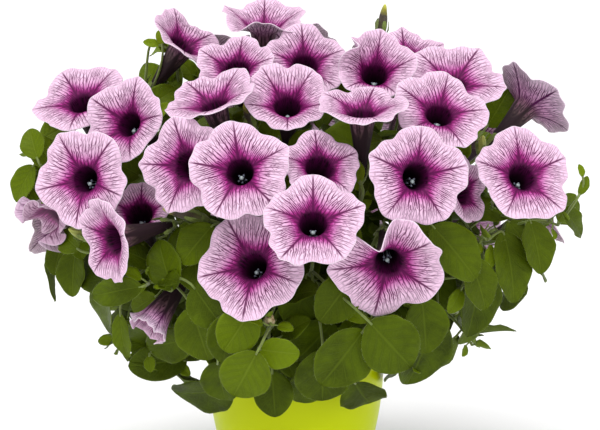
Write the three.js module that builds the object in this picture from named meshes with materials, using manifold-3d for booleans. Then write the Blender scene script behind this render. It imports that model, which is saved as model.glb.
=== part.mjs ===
// A potted petunia: a round tapered pot filled with soil, twelve leafy stems and their trumpet blooms.
// Millimetres, +Z up, origin at the centre of the pot's underside. The front is -Y and right is +X.

import * as THREE from 'three';
import { mergeVertices } from 'three/addons/utils/BufferGeometryUtils.js';
import loadManifold from 'manifold-3d';

const wasm = await loadManifold();
wasm.setup();

// ---- Driving dimensions, mm and degrees ----
const GAP = 0.3; // clearance kept between pieces that lie against each other

const POT = {
  height: 110, baseRadius: 38, wallRadius: 62.5, wall: 1.5, floor: 2,
  rimRadius: 64, rimHeight: 6, bulge: 2.2, sides: 24, drop: 1,
};
const DRAIN = { count: 5, radius: 3.5, circle: 24, sides: 8 };
const SOIL = { top: 98, crown: 3, inset: 0.39 };
const WALL_HEIGHTS = [26, 60]; // heights of the wall's rings between floor and rim
const STEM_HOLE = { radius: 3.1, depth: 18, sides: 6, cut: 40 };

// The plant's two shells: blooms face out of the crown, and leaves lie on the mound inside it.
const CROWN = { centre: [0, 0, 185], reach: [192, 160, 158] };
const MOUND = { centre: [0, 0, 165], reach: [168, 140, 128], below: 110 };
const HEART = [0, 0, 150]; // the leafy stems spread from here

const STEM = {
  rootRadius: 2.2, tipRadius: 1.6, sides: 5, steps: 3, rise: 30, fork: [98, 82, 92],
  arrive: 30, level: 8, buds: [0.5, 1],
};
const FOOT = { outer: 34, inner: 13, above: 4 }; // how far out the stems stand, and their straight part
const STEEP = 45; // stems that lean up more than this rise inside the others
const STALK = {
  radius: 1.2, sides: 4, steps: 3, neck: 1.8, neckLength: 4, leave: 0.3, arrive: 0.42, buds: [0.2, 0.85],
};
const CALYX = { floorRadius: 2.8, valleyRadius: 4.4, valleyHeight: 2, tipRadius: 6.2, tipHeight: 10 };
const SHOOT = {
  radius: 1.4, tipRadius: 1, sides: 4, steps: 3, leave: 0.35, arrive: 0.25, droop: 0.2, buds: [0.2, 1],
};
const LOW_SHOOT = { from: 0.6, up: -30, reach: 0.86 }; // one on each outer stem
const ARM_FROM = 0.85;
const ARMS = [ // longer shoots: around, up and reach of their tips
  [72, 17, 1.16], [46, 18, 1.08], [22, 4, 1.02], [-5, -1, 1.1], [-33, 8, 1.04], [-90, 29, 1.12],
  [-104, 62, 1.06],
];
const LOBE = 72; // degrees round a bloom's face for each of its five lobes
const TRUMPET = {
  length: 44, mouth: 8.5, foot: 1.6, thick: 0.8, flare: 3, flareRate: 6, notch: 0.11, sides: 20,
};
const BLADE = {
  thick: 0.8, root: 0.6, neck: 0.9, low: 0.3, high: 0.7, half: 0.445, arch: 0.12, keel: 0.12,
};

// The leafy stems: around (0 is the front, 90 the right) and up, of the way each one leans out.
const LEANS = [
  [0, 12], [40, 12], [80, 12], [120, 12], [160, 12], [200, 12], [240, 12], [280, 12], [320, 12],
  [60, 62], [180, 62], [300, 62],
];

// Blooms seen from the front: mouth x y z, then turn, tilt, roll, width, cup and any folded lobes.
// Turn is the way a bloom faces (0 is the front, 90 the right), and cup is how far its limb leans in.
const FRONT_BLOOMS = [
  [-77, -25, 327, 58, 50, 20, 58, 24],
  [-22, -8, 335, 10, 82, 10, 68, 36],
  [-39, -66, 314, -10, 46, 5, 54, 22],
  [6, -46, 316, 8, 44, 0, 60, 14],
  [-5, -100, 295, 0, 48, 36, 62, 28],
  [-52, -104, 296, -42, 64, 0, 64, 20],
  [52, -66, 312, 2, 42, 10, 62, 32, [0, 0, 0, 0, 45]],
  [42, -126, 293, 0, 74, 18, 60, 18],
  [104, -58, 304, 6, 56, 36, 70, 12],
  [92, -104, 290, 12, 46, 20, 64, 12],
  [75, -148, 257, 15, 14, 8, 65, 8],
  [145, -112, 251, 20, 32, 0, 66, 10],
  [157, -20, 285, 122, 38, 0, 66, 20],
  [-34, -153, 261, -6, 22, -10, 64, 6],
  [11, -180, 233, 0, 38, 0, 63, 8],
  [-26, -146, 200, -18, 26, 36, 72, 8],
  [58, -156, 205, 2, -14, -22, 72, 8, [55, 25, 0, 0, 0]],
  [15, -142, 261, 14, 42, 0, 52, 12],
  [-67, -129, 261, -24, 14, -20, 62, 12],
  [-136, -99, 248, -22, 16, -36, 66, 10],
  [-109, -78, 281, -30, 26, 7, 62, 18],
  [-144, -34, 289, -20, 54, 28, 66, 12],
  [-102, -87, 222, -10, 38, 0, 44, 22],
  [-114, -133, 215, -52, -6, 0, 58, 20],
  [-161, -62, 219, -60, -34, 0, 56, 30, [50, -40, 60, -50, 40]],
  [-89, -112, 161, -50, -45, 0, 40, 66],
  [107, -97, 240, 56, 12, 0, 46, 20],
  [75, -16, 316, 6, 55, 0, 54, 14],
];

// Blooms round the sides and back, in rows: how far up, then the first and last way around and a count.
const BACK_ROWS = [
  { up: 2, from: 96, to: 262, count: 6 },
  { up: 28, from: 112, to: 244, count: 5 },
  { up: 52, from: 128, to: 232, count: 3 },
];
const BACK_BLOOM = {
  reach: 0.97, sway: 8, width: 62, widthSpread: 8, turnSpread: 24, lift: 22, steepest: 80,
  cup: 8, cupSpread: 14,
};

// Buds: tip x y z, then turn and tilt of the way they point, length and radius.
const BUDS = [
  [63, 20, 357, 90, 82, 28, 3.2],
  [-90, -112, 232, -90, 14, 32, 3.6],
  [123, -80, 274, 20, 70, 12, 3],
  [-148, -96, 215, -70, 30, 14, 3],
  [-16, -150, 170, 10, 70, 8, 3.6],
  [-34, -104, 301, -40, 62, 24, 3],
];

const BUD_SHAPE = [[0.3, 0.9], [0.62, 1], [0.88, 0.6]]; // share of its length, share of its radius

// Leaves seen from the front: around, up and reach of the blade's middle on the mound, the heading of
// its tip (0 is up, 90 right), length and width.
const FRONT_LEAVES = [
  [-9, -13, 1.22, -153, 37, 33],
  [-3, -9, 1.2, 105, 26, 22],
  [-9, -2, 1.12, -146, 34, 28],
  [-14, -6, 1.06, -167, 36, 26],
  [-19, -26, 0.98, 173, 36, 26],
  [-4, -23, 1.1, -160, 38, 30],
  [6, -19, 1.05, 170, 42, 37],
  [9, -10, 1.14, -146, 46, 37],
  [4, -10, 1.05, -139, 38, 31],
  [1, 4, 1.1, -167, 36, 29],
  [8, 6, 1.1, -150, 35, 28],
  [16, -6, 1.14, 138, 44, 38],
  [27, -3, 1.08, 165, 38, 31],
  [35, 16, 1.1, 145, 46, 32],
  [41, 7, 1.1, 164, 37, 25],
  [50, 10, 1.1, 180, 48, 29],
  [55, 14, 1.18, -177, 36, 26],
  [72, 17, 1.22, 137, 32, 17],
  [74, 21, 1.26, 126, 24, 15],
  [38, 2, 1, -143, 18, 12],
  [42, 14, 1.2, 25, 18, 9],
  [44, 10, 1.2, 88, 17, 9],
  [-63, 6, 1, 174, 32, 25],
  [-36, 6, 1.16, -105, 40, 19],
  [-29, 14, 1.14, -25, 35, 24],
  [-23, 20, 1.02, -146, 32, 26],
  [-18, 3, 1.08, 142, 33, 26],
  [-33, -16, 1.02, -107, 42, 26],
  [-43, -11, 1, -177, 33, 14],
  [-22, -7, 0.98, 158, 38, 32],
  [-40, 0, 0.96, -121, 24, 16],
  [-57, 16, 1.1, -72, 26, 18],
  [-89, 33, 1.28, -86, 34, 22],
  [-90, 36, 1.2, -33, 33, 25],
  [-88, 24, 1.22, 180, 34, 22],
  [-99, 60, 1.18, -108, 40, 26],
  [-106, 70, 1.15, -101, 28, 18],
  [-99, 65, 1.34, -147, 24, 11],
  [103, 71, 1.04, 170, 34, 18],
  [16, 38, 1.12, -17, 20, 12],
  [93, 46, 1.23, 38, 22, 15],
];

const FRONT_LEAF_LIGHT = 0.9; // how far they turn, as a share of the way they face by themselves

// Leaves that fill the mound on all sides: an even spiral with drawn headings and sizes.
const FILL = {
  count: 76, lowest: -50, length: 52, width: 39, spread: 0.24, swing: 150, tuck: 0.3, tuckBelow: 15,
};
const PETIOLE = { shortest: 6, longest: 62, ahead: 0.75, rise: 0.65, stray: 1.7, bare: 0.6 };
const TURN = 137.508; // degrees from one leaf of the spiral to the next

const FINISHES = {
  pot: { colour: 0xb8c601, roughness: 0.35 },
  soil: { colour: 0x3a2a1e, roughness: 0.95 },
  bloom: { colour: 0xcb93ba, roughness: 0.6 },
  foliage: { colour: 0x526112, roughness: 0.65 },
};

// ---- Small maths ----
const vec = (x, y, z) => new THREE.Vector3(x, y, z);
const rad = THREE.MathUtils.degToRad;
const UP = vec(0, 0, 1);
const LIGHT = vec(0, -1, 0.3); // where the front leaves at the sides turn their faces

// A repeatable draw between 0 and 1 for the whole number n.
function draw(n) {
  const wave = Math.sin(n * 12.9898) * 43758.5453;
  return wave - Math.floor(wave);
}

// The sum of vectors, each given as [vector, factor].
function mix(...terms) {
  return terms.reduce((sum, [vector, factor]) => sum.addScaledVector(vector, factor), vec(0, 0, 0));
}

function bezier(ends, t) {
  const s = 1 - t;
  const shares = [s * s * s, 3 * s * s * t, 3 * s * t * t, t * t * t];
  return mix(...ends.map((end, k) => [end, shares[k]]));
}

function bezierPath(ends, steps) {
  return Array.from({ length: steps + 1 }, (_, k) => bezier(ends, k / steps));
}

// The outward direction at an angle around the plant and an angle up.
function direction(around, up) {
  const a = rad(around);
  const u = rad(up);
  return vec(Math.sin(a) * Math.cos(u), -Math.cos(a) * Math.cos(u), Math.sin(u));
}

// A bloom's or bud's axes: w the way it faces, v up its face, e to the right as seen from its face.
function facing(turn, tilt) {
  const w = direction(turn, tilt);
  const up = Math.abs(w.z) < 0.995 ? UP : vec(0, 1, 0);
  const v = mix([up, 1], [w, -up.dot(w)]).normalize();
  return { w, v, e: vec(0, 0, 0).crossVectors(v, w) };
}

// The two ends of a short step along a curve, which gives its direction, lie this share apart.
const NEAR = 0.05;

// A point of an ellipsoid shell, with its outward normal and its tangents to the right and up.
function onShell(shell, around, up, reach) {
  const way = direction(around, up);
  const height = way.z < 0 && shell.below ? shell.below : shell.reach[2];
  const half = vec(shell.reach[0], shell.reach[1], height);
  const spot = way.clone().multiply(half);
  const normal = spot.clone().divide(half).divide(half).normalize();
  const right = vec(half.x * Math.cos(rad(around)), half.y * Math.sin(rad(around)), 0).normalize();
  const top = vec(0, 0, 0).crossVectors(normal, right);
  return { at: mix([vec(...shell.centre), 1], [spot, reach]), normal, right, top };
}

// ---- Solids ----
// A surface of triangles that is built up row by row.
class Surface {
  constructor() {
    this.points = [];
    this.faces = [];
  }

  row(points) {
    const first = this.points.length;
    this.points.push(...points);
    return points.map((_, k) => first + k);
  }

  // Joins two rows, open or closed, that may have different counts of points.
  join(a, b, closed) {
    const [stepsA, stepsB] = [a, b].map((row) => (closed && row.length > 1 ? row.length : row.length - 1));
    let i = 0;
    let j = 0;
    while (i < stepsA || j < stepsB) {
      const moveB = i === stepsA || (j < stepsB && (j + 1) / stepsB <= (i + 1) / stepsA);
      const next = moveB ? b[(j + 1) % b.length] : a[(i + 1) % a.length];
      this.faces.push([a[i % a.length], next, b[j % b.length]]);
      if (moveB) j += 1;
      else i += 1;
    }
  }

  ring(a, b) {
    this.join(a, b, true);
  }

  fan(ring, reversed) {
    for (let k = 1; k < ring.length - 1; k += 1) {
      this.faces.push(reversed ? [ring[0], ring[k], ring[k + 1]] : [ring[0], ring[k + 1], ring[k]]);
    }
  }
}

// A closed solid from points and triangles, turned so that its faces point out.
function solid(points, faces) {
  const volume = faces.reduce((sum, [a, b, c]) => {
    const normal = vec(0, 0, 0).crossVectors(points[b], points[c]);
    return sum + points[a].dot(normal);
  }, 0);
  const turned = volume < 0 ? faces.map(([a, b, c]) => [a, c, b]) : faces;
  return new wasm.Manifold(new wasm.Mesh({
    numProp: 3,
    vertProperties: new Float32Array(points.flatMap((p) => [p.x, p.y, p.z])),
    triVerts: new Uint32Array(turned.flat()),
  }));
}

// A solid from an open surface: a copy of it, moved by an offset for each point, and a wall round its edge.
function thicken(surface, offsets) {
  const count = surface.points.length;
  const points = [...surface.points, ...surface.points.map((p, k) => p.clone().add(offsets[k]))];
  const edges = new Set(surface.faces.flatMap(([a, b, c]) => [`${a} ${b}`, `${b} ${c}`, `${c} ${a}`]));
  const faces = surface.faces.flatMap(([a, b, c]) => [[a, b, c], [a + count, c + count, b + count]]);
  for (const edge of edges) {
    const [a, b] = edge.split(' ').map(Number);
    if (edges.has(`${b} ${a}`)) continue;
    faces.push([b, a, a + count], [b, a + count, b + count]);
  }
  return solid(points, faces);
}

// A closed solid from one of three's own geometries.
function solidOf(geometry) {
  geometry.deleteAttribute('normal');
  geometry.deleteAttribute('uv');
  const merged = mergeVertices(geometry);
  const place = merged.getAttribute('position');
  const points = Array.from({ length: place.count }, (_, k) => vec(0, 0, 0).fromBufferAttribute(place, k));
  const corners = Array.from(merged.index.array);
  const faces = [];
  for (let k = 0; k < corners.length; k += 3) {
    const [a, b, c] = corners.slice(k, k + 3);
    if (a !== b && b !== c && c !== a) faces.push([a, b, c]);
  }
  return solid(points, faces);
}

// A ring of points round a centre, in the plane of two axes.
function ringPoints(centre, e, v, radius, count, startAngle = 0) {
  return Array.from({ length: count }, (_, k) => {
    const angle = startAngle + (k * 2 * Math.PI) / count;
    return mix([centre, 1], [e, radius * Math.sin(angle)], [v, radius * Math.cos(angle)]);
  });
}

// Axes across a path, carried back from its last point without twist.
function pathAxes(path, lastE, lastV) {
  const last = path.length - 1;
  const tangents = path.map((_, k) => (
    mix([path[Math.min(k + 1, last)], 1], [path[Math.max(k - 1, 0)], -1]).normalize()
  ));
  const axes = [];
  let e = lastE.clone();
  let v = lastV.clone();
  let before = vec(0, 0, 0).crossVectors(e, v).normalize();
  if (before.dot(tangents[last]) < 0) before.negate();
  for (let k = last; k >= 0; k -= 1) {
    const turn = new THREE.Quaternion().setFromUnitVectors(before, tangents[k]);
    e = e.clone().applyQuaternion(turn);
    v = v.clone().applyQuaternion(turn);
    before = tangents[k];
    axes[k] = { e, v };
  }
  return axes;
}

// Adds the rings of a round tube along a path, one for each radius, and closes its root.
function addTube(surface, path, radii, sides, lastE, lastV) {
  const axes = pathAxes(path, lastE, lastV);
  const rings = radii.map((radius, k) => (
    surface.row(ringPoints(path[k], axes[k].e, axes[k].v, radius, sides))
  ));
  for (let k = 1; k < rings.length; k += 1) surface.ring(rings[k - 1], rings[k]);
  surface.fan(rings[0], false);
  return rings[rings.length - 1];
}

// ---- Pot and soil ----
function potRadius(z) {
  const down = (POT.height - z) / POT.height;
  return POT.baseRadius + (POT.wallRadius - POT.baseRadius) * (1 - down ** POT.bulge);
}

function lathe(profile) {
  const points = profile.map(([radius, z]) => new THREE.Vector2(radius, z));
  return solidOf(new THREE.LatheGeometry(points, POT.sides).rotateX(Math.PI / 2));
}

function post(radius, height, sides, x, y, z) {
  const shape = new THREE.CylinderGeometry(radius, radius, height, sides).rotateX(Math.PI / 2);
  return solidOf(shape.translate(x, y, z + height / 2));
}

function makePot() {
  const rimFoot = POT.height - POT.rimHeight;
  const outside = [0, ...WALL_HEIGHTS, rimFoot].map((z) => [potRadius(z), z]);
  const inner = [POT.height, SOIL.top, ...WALL_HEIGHTS.toReversed(), POT.floor];
  const inside = inner.map((z) => [potRadius(z) - POT.wall, z]);
  const rim = [rimFoot + POT.drop, POT.height - POT.drop].map((z) => [POT.rimRadius, z]);
  rim.push([POT.rimRadius - POT.drop, POT.height]);
  let pot = lathe([[0, 0], ...outside, ...rim, ...inside, [0, POT.floor]]);
  for (let k = 0; k < DRAIN.count; k += 1) {
    const angle = (k * 2 * Math.PI) / DRAIN.count;
    const [x, y] = [DRAIN.circle * Math.sin(angle), -DRAIN.circle * Math.cos(angle)];
    pot = pot.subtract(post(DRAIN.radius, POT.floor + 2, DRAIN.sides, x, y, -1));
  }
  return pot;
}

function stemFoot(lean) {
  const [around, up] = lean;
  const out = up > STEEP ? FOOT.inner : FOOT.outer;
  return vec(out * Math.sin(rad(around)), -out * Math.cos(rad(around)), SOIL.top - STEM_HOLE.depth + GAP);
}

function makeSoil() {
  const heights = [POT.floor, ...WALL_HEIGHTS, SOIL.top];
  const side = heights.map((z, k) => [potRadius(z) - POT.wall - SOIL.inset, k ? z : z + GAP]);
  let soil = lathe([[0, POT.floor + GAP], ...side, [0, SOIL.top + SOIL.crown]]);
  for (const lean of LEANS) {
    const foot = stemFoot(lean);
    soil = soil.subtract(
      post(STEM_HOLE.radius, STEM_HOLE.cut, STEM_HOLE.sides, foot.x, foot.y, foot.z - GAP),
    );
  }
  return soil;
}

// ---- Blooms ----
// A row of the bloom lists as named values.
function bloomOf([x, y, z, turn, tilt, roll, width, cup, folds = [0, 0, 0, 0, 0]]) {
  const axes = facing(turn, tilt);
  return { at: vec(x, y, z), ...axes, roll: rad(roll), radius: width / 2, cup: rad(cup), folds };
}

function backBlooms() {
  const rows = [];
  for (const { up, from, to, count } of BACK_ROWS) {
    for (let k = 0; k < count; k += 1) {
      const n = rows.length + 1;
      const around = from + ((to - from) * (k + 0.5)) / count;
      const spot = onShell(CROWN, around, up + BACK_BLOOM.sway * (draw(n) - 0.5), BACK_BLOOM.reach);
      const lean = THREE.MathUtils.radToDeg(Math.asin(spot.normal.z));
      rows.push([
        spot.at.x, spot.at.y, spot.at.z,
        around + BACK_BLOOM.turnSpread * (draw(n + 50) - 0.5),
        Math.min(lean + BACK_BLOOM.lift * draw(n + 100), BACK_BLOOM.steepest),
        LOBE * draw(n + 150),
        BACK_BLOOM.width + BACK_BLOOM.widthSpread * (draw(n + 200) - 0.5),
        BACK_BLOOM.cup + BACK_BLOOM.cupSpread * draw(n + 250),
      ]);
    }
  }
  return rows;
}

// The front face of a limb: angle clockwise from the top of its face, and s from the mouth to the rim.
// Five lobes are set off by notches, and the limb leans in by its cup and by the fold of the lobe.
function limbPoint(bloom, angle, s) {
  const lobe = angle - bloom.roll;
  const radius = bloom.radius * (1 - TRUMPET.notch * Math.sin(2.5 * lobe) ** 4);
  let lean = bloom.cup;
  bloom.folds.forEach((fold, k) => {
    const away = lobe - rad(LOBE * k);
    const aside = Math.atan2(Math.sin(away), Math.cos(away));
    if (Math.abs(aside) < rad(LOBE / 2)) lean += rad(fold) * Math.cos(2.5 * aside) ** 2;
  });
  const run = (radius - TRUMPET.mouth) * s;
  const out = TRUMPET.mouth + run * Math.cos(lean);
  const ahead = TRUMPET.flare * (1 - Math.exp(-TRUMPET.flareRate * s)) + run * Math.sin(lean);
  const outward = mix([bloom.e, Math.sin(angle)], [bloom.v, Math.cos(angle)]);
  return {
    at: mix([bloom.at, 1], [outward, out], [bloom.w, ahead]),
    back: mix([outward, Math.sin(lean) * TRUMPET.thick], [bloom.w, -Math.cos(lean) * TRUMPET.thick]),
  };
}

// A trumpet bloom: a tapered tube, closed at its foot, that opens into the limb.
function makeBloom(bloom) {
  const surface = new Surface();
  const offsets = [];
  const { at, e, v, w, roll } = bloom;
  const lay = (centre, radius, count, across, along) => {
    const points = ringPoints(centre, e, v, radius, count, roll);
    points.forEach((p) => {
      const out = mix([p, 1], [centre, -1]).normalize();
      offsets.push(mix([out, across * TRUMPET.thick], [w, -along * TRUMPET.thick]));
    });
    return surface.row(points);
  };
  const foot = lay(mix([at, 1], [w, -TRUMPET.length + TRUMPET.thick]), TRUMPET.foot, 5, 1, 1);
  const mouth = lay(at, TRUMPET.mouth, 5, 0.8, 0.6);
  const rimPoints = Array.from({ length: TRUMPET.sides }, (_, k) => {
    const rim = limbPoint(bloom, roll + (k * 2 * Math.PI) / TRUMPET.sides, 1);
    offsets.push(rim.back);
    return rim.at;
  });
  const rim = surface.row(rimPoints);
  surface.fan(foot, false);
  surface.ring(foot, mouth);
  surface.ring(mouth, rim);
  return thicken(surface, offsets);
}

// ---- Leafy stems ----
function stemEnds(lean) {
  const [around, up] = lean;
  const foot = stemFoot(lean);
  const out = direction(around, up);
  const fork = mix([vec(...HEART), 1], [out.clone().multiply(vec(...STEM.fork)), 1]);
  const start = mix([foot, 1], [UP, STEM_HOLE.depth + FOOT.above]);
  return [
    start,
    mix([start, 1], [UP, STEM.rise]),
    mix([fork, 1], [out, -STEM.arrive], [UP, -STEM.level]),
    fork,
  ];
}

// A stem that stands straight in its hole and then leans out to its fork.
function makeStem(lean, ends) {
  const surface = new Surface();
  const path = [stemFoot(lean), ...bezierPath(ends, STEM.steps)];
  const last = path.length - 1;
  const radii = path.map((_, k) => STEM.rootRadius + ((STEM.tipRadius - STEM.rootRadius) * k) / last);
  const along = mix([path[last], 1], [path[last - 1], -1]).normalize();
  const side = vec(Math.cos(rad(lean[0])), Math.sin(rad(lean[0])), 0);
  const across = vec(0, 0, 0).crossVectors(side, along).normalize();
  const top = addTube(surface, path, radii, STEM.sides, side, across);
  surface.fan(top, true);
  return solid(surface.points, surface.faces);
}

// The ways that a stem's next stalk may leave it and bend: how far up it, then aside and up in mm.
const FORKS = [0.97, 0.86, 0.75, 0.64, 0.92, 0.81, 0.7, 0.59];
const BENDS = [[0, 0], [14, 0], [-14, 0], [0, 14], [0, -14], [26, 0], [-26, 0], [0, 26], [0, -26]];

function bendsFor(count) {
  const forks = FORKS.map((_, k) => FORKS[(k + count) % FORKS.length]);
  return forks.flatMap((from) => BENDS.map(([aside, lift]) => ({ from, aside, lift })));
}

function stalkEnds(stem, neck, flower, { from, aside, lift }) {
  const root = bezier(stem, from);
  const [before, after] = [from - NEAR, Math.min(from + NEAR, 1)].map((share) => bezier(stem, share));
  const along = mix([after, 1], [before, -1]).normalize();
  const span = neck.distanceTo(root);
  const bend = mix([flower.e, aside], [flower.v, lift]);
  return [
    root,
    mix([root, 1], [along, STALK.leave * span], [bend, 1]),
    mix([neck, 1], [flower.w, -STALK.arrive * span], [bend, 0.5]),
    neck,
  ];
}

// A stalk with the five-pointed calyx at its end, which holds a bloom's foot or grows on into a bud.
function makeStalk(ends, flower, base, bud) {
  const surface = new Surface();
  const { e, v, w, roll } = flower;
  const path = bezierPath(ends, STALK.steps);
  const shaft = addTube(surface, path, Array(STALK.steps).fill(STALK.radius), STALK.sides, e, v);
  const neck = surface.row(ringPoints(path[STALK.steps], e, v, STALK.neck, 5, roll));
  surface.ring(shaft, neck);
  const low = ringPoints(mix([base, 1], [w, CALYX.valleyHeight]), e, v, CALYX.valleyRadius, 10, roll);
  const high = ringPoints(mix([base, 1], [w, CALYX.tipHeight]), e, v, CALYX.tipRadius, 10, roll);
  const crown = surface.row(low.map((p, k) => (k % 2 ? high[k] : p)));
  const floor = surface.row(ringPoints(mix([base, 1], [w, -GAP]), e, v, CALYX.floorRadius, 5, roll));
  surface.ring(neck, crown);
  surface.ring(crown, floor);
  if (!bud) {
    surface.fan(floor, true);
    return solid(surface.points, surface.faces);
  }
  const rings = BUD_SHAPE.map(([along, wide]) => (
    surface.row(ringPoints(mix([base, 1], [w, along * bud.length]), e, v, wide * bud.radius, 5, roll))
  ));
  const tip = surface.row([mix([base, 1], [w, bud.length])]);
  surface.ring(floor, rings[0]);
  surface.ring(rings[0], rings[1]);
  surface.ring(rings[1], rings[2]);
  surface.ring(rings[2], tip);
  return solid(surface.points, surface.faces);
}

function budOf([x, y, z, turn, tilt, length, radius]) {
  const axes = facing(turn, tilt);
  return { ...axes, roll: 0, base: mix([vec(x, y, z), 1], [axes.w, -length]), length, radius };
}

// A leaf on the mound: its base, the way its tip points, its upper side and its right.
function leafOf([around, up, reach, heading, length, width], lift, light) {
  const spot = onShell(MOUND, around, up, reach);
  const way = mix([spot.top, Math.cos(rad(heading))], [spot.right, Math.sin(rad(heading))]);
  const middle = mix([spot.at, 1], [spot.normal, lift]);
  const face = mix([spot.normal, 1], [LIGHT, light * Math.sin(rad(around)) ** 2]);
  const normal = mix([face, 1], [way, -face.dot(way)]).normalize();
  return {
    base: mix([middle, 1], [way, -length / 2]),
    tip: mix([middle, 1], [way, length / 2]),
    way, normal, side: vec(0, 0, 0).crossVectors(way, normal), length, width,
  };
}

// An ovate blade, arched along and folded a little on its midrib, with a flat stalk down to its root.
function makeLeaf(leaf, root) {
  const surface = new Surface();
  const { base, way, normal, side, length, width } = leaf;
  const rise = mix([base, 1], [root, -1]).normalize();
  let across = mix([side, 1], [rise, -side.dot(rise)]);
  if (across.length() < 0.3) across = mix([way, 1], [rise, -way.dot(rise)]);
  across.normalize();
  const back = vec(0, 0, 0).crossVectors(across, rise).normalize();
  const bend = mix([back, 1], [normal, 1]).normalize();
  const spot = (u, aside, keel) => {
    const height = BLADE.arch * length * (1 - (2 * u - 1) ** 2) - keel * BLADE.keel * width;
    return mix([base, 1], [way, u * length], [side, aside * width], [normal, height]);
  };
  const low = mix([root, 1], [back, 0.5 * BLADE.thick]);
  const rows = [
    surface.row([mix([low, 1], [across, -BLADE.root]), mix([low, 1], [across, BLADE.root])]),
    surface.row([mix([base, 1], [side, -BLADE.neck]), mix([base, 1], [side, BLADE.neck])]),
    surface.row([spot(BLADE.low, -BLADE.half, 0), spot(BLADE.low, BLADE.half, 0)]),
    surface.row([[-BLADE.half, 0], [0, 1], [BLADE.half, 0]].map(([x, keel]) => spot(BLADE.high, x, keel))),
    surface.row([spot(1, 0, 0)]),
  ];
  for (let k = 1; k < rows.length; k += 1) surface.join(rows[k - 1], rows[k], false);
  const offsets = surface.points.map(() => mix([normal, -BLADE.thick]));
  rows[0].forEach((k) => { offsets[k] = mix([back, -BLADE.thick]); });
  rows[1].forEach((k) => { offsets[k] = mix([bend, -BLADE.thick / Math.max(bend.dot(normal), 0.5)]); });
  return thicken(surface, offsets);
}

// ---- The plant, piece by piece ----
// Every piece placed so far, with the node that owns it and its box.
const placed = [];

function place(piece, owner, kind) {
  const { min, max } = piece.boundingBox();
  placed.push({ piece, owner, kind, min, max });
  return piece;
}

// Whether a piece stands clear of all that is placed, apart from the kinds of its own node that it may
// grow into. A stalk comes a little closer to the bloom that it holds.
function isClear(piece, owner, joins = ['stem'], holds = '') {
  const { min, max } = piece.boundingBox();
  return placed.every((other) => {
    if (other.owner === owner && joins.includes(other.kind)) return true;
    if (min.some((low, k) => low > other.max[k] + GAP || max[k] < other.min[k] - GAP)) return true;
    const needed = (other.owner === holds ? 0.5 : 0.95) * GAP;
    return piece.minGap(other.piece, 2 * GAP) >= needed;
  });
}

// The leafy stem whose lean is nearest to a point.
function nearestStem(point) {
  const way = mix([point, 1], [vec(...HEART), -1]).normalize();
  const scores = LEANS.map(([around, up]) => way.dot(direction(around, up)));
  return scores.indexOf(Math.max(...scores));
}

function stemName(k) {
  return `leafy_stem_${String(k + 1).padStart(2, '0')}`;
}

// The pieces of each leafy stem, and the points along it where a leaf may grow.
const stems = LEANS.map((lean, k) => (
  { name: stemName(k), ends: stemEnds(lean), pieces: [], buds: [], stalks: 0 }
));

function grow(stem, piece, kind) {
  stem.pieces.push(place(piece, stem.name, kind));
}

// Points along a path of straight lengths, between two shares of it.
function addBuds(stem, path, first, last) {
  const steps = 4 * (path.length - 1);
  for (let k = 0; k <= steps; k += 1) {
    const share = k / steps;
    if (share < first || share > last) continue;
    const [low, part] = [Math.floor(k / 4), (k % 4) / 4];
    stem.buds.push(mix([path[low], 1 - part], [path[Math.min(low + 1, path.length - 1)], part]));
  }
}

// Tries each bend of a stalk in turn and keeps the first that is clear.
function growStalk(flower, base, bud, owner) {
  const stem = stems[nearestStem(base)];
  const neck = mix([base, 1], [flower.w, -STALK.neckLength]);
  for (const bend of bendsFor(stem.stalks)) {
    const ends = stalkEnds(stem.ends, neck, flower, bend);
    const piece = makeStalk(ends, flower, base, bud);
    if (!isClear(piece, stem.name, ['stem'], owner)) continue;
    grow(stem, piece, 'stem');
    addBuds(stem, bezierPath(ends, STALK.steps), ...STALK.buds);
    stem.stalks += 1;
    return true;
  }
  return false;
}

const SHOOT_BENDS = [[0, 0], [12, 0], [-12, 0], [0, 12], [24, 6], [-24, 6], [0, 24]];

// A shoot without blooms, from a share of the stem out to a place near the mound.
function growShoot(stem, from, around, up, reach) {
  const spot = onShell(MOUND, around, up, reach);
  const root = bezier(stem.ends, from);
  const along = mix([bezier(stem.ends, from + NEAR), 1], [root, -1]).normalize();
  const span = spot.at.distanceTo(root);
  for (const [aside, lift] of SHOOT_BENDS) {
    const bend = mix([spot.right, aside], [UP, lift]);
    const ends = [
      root,
      mix([root, 1], [along, SHOOT.leave * span], [bend, 1]),
      mix([spot.at, 1], [spot.normal, -SHOOT.arrive * span], [UP, SHOOT.droop * span], [bend, 0.6]),
      mix([spot.at, 1], [bend, 0.2]),
    ];
    const path = bezierPath(ends, SHOOT.steps);
    const surface = new Surface();
    const radii = path.map((_, k) => SHOOT.radius + ((SHOOT.tipRadius - SHOOT.radius) * k) / SHOOT.steps);
    const last = mix([path[SHOOT.steps], 1], [path[SHOOT.steps - 1], -1]).normalize();
    const side = vec(0, 0, 0).crossVectors(last, UP).normalize();
    const top = addTube(surface, path, radii, SHOOT.sides, side, vec(0, 0, 0).crossVectors(side, last));
    surface.fan(top, true);
    const piece = solid(surface.points, surface.faces);
    if (!isClear(piece, stem.name)) continue;
    grow(stem, piece, 'stem');
    addBuds(stem, path, ...SHOOT.buds);
    return true;
  }
  return false;
}

// The point of the leafy stems that a leaf grows from: near its base, below it and behind it.
function rootOf(leaf) {
  const ideal = mix([leaf.way, PETIOLE.ahead], [leaf.normal, PETIOLE.rise]).normalize();
  let best = { cost: Infinity };
  for (const stem of stems) {
    for (const at of stem.buds) {
      const away = mix([leaf.base, 1], [at, -1]);
      const distance = away.length();
      const cost = distance * (PETIOLE.stray - ideal.dot(away) / distance);
      if (distance < PETIOLE.shortest) continue;
      if (cost < best.cost) best = { cost, distance, at, stem };
    }
  }
  return best;
}

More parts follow.
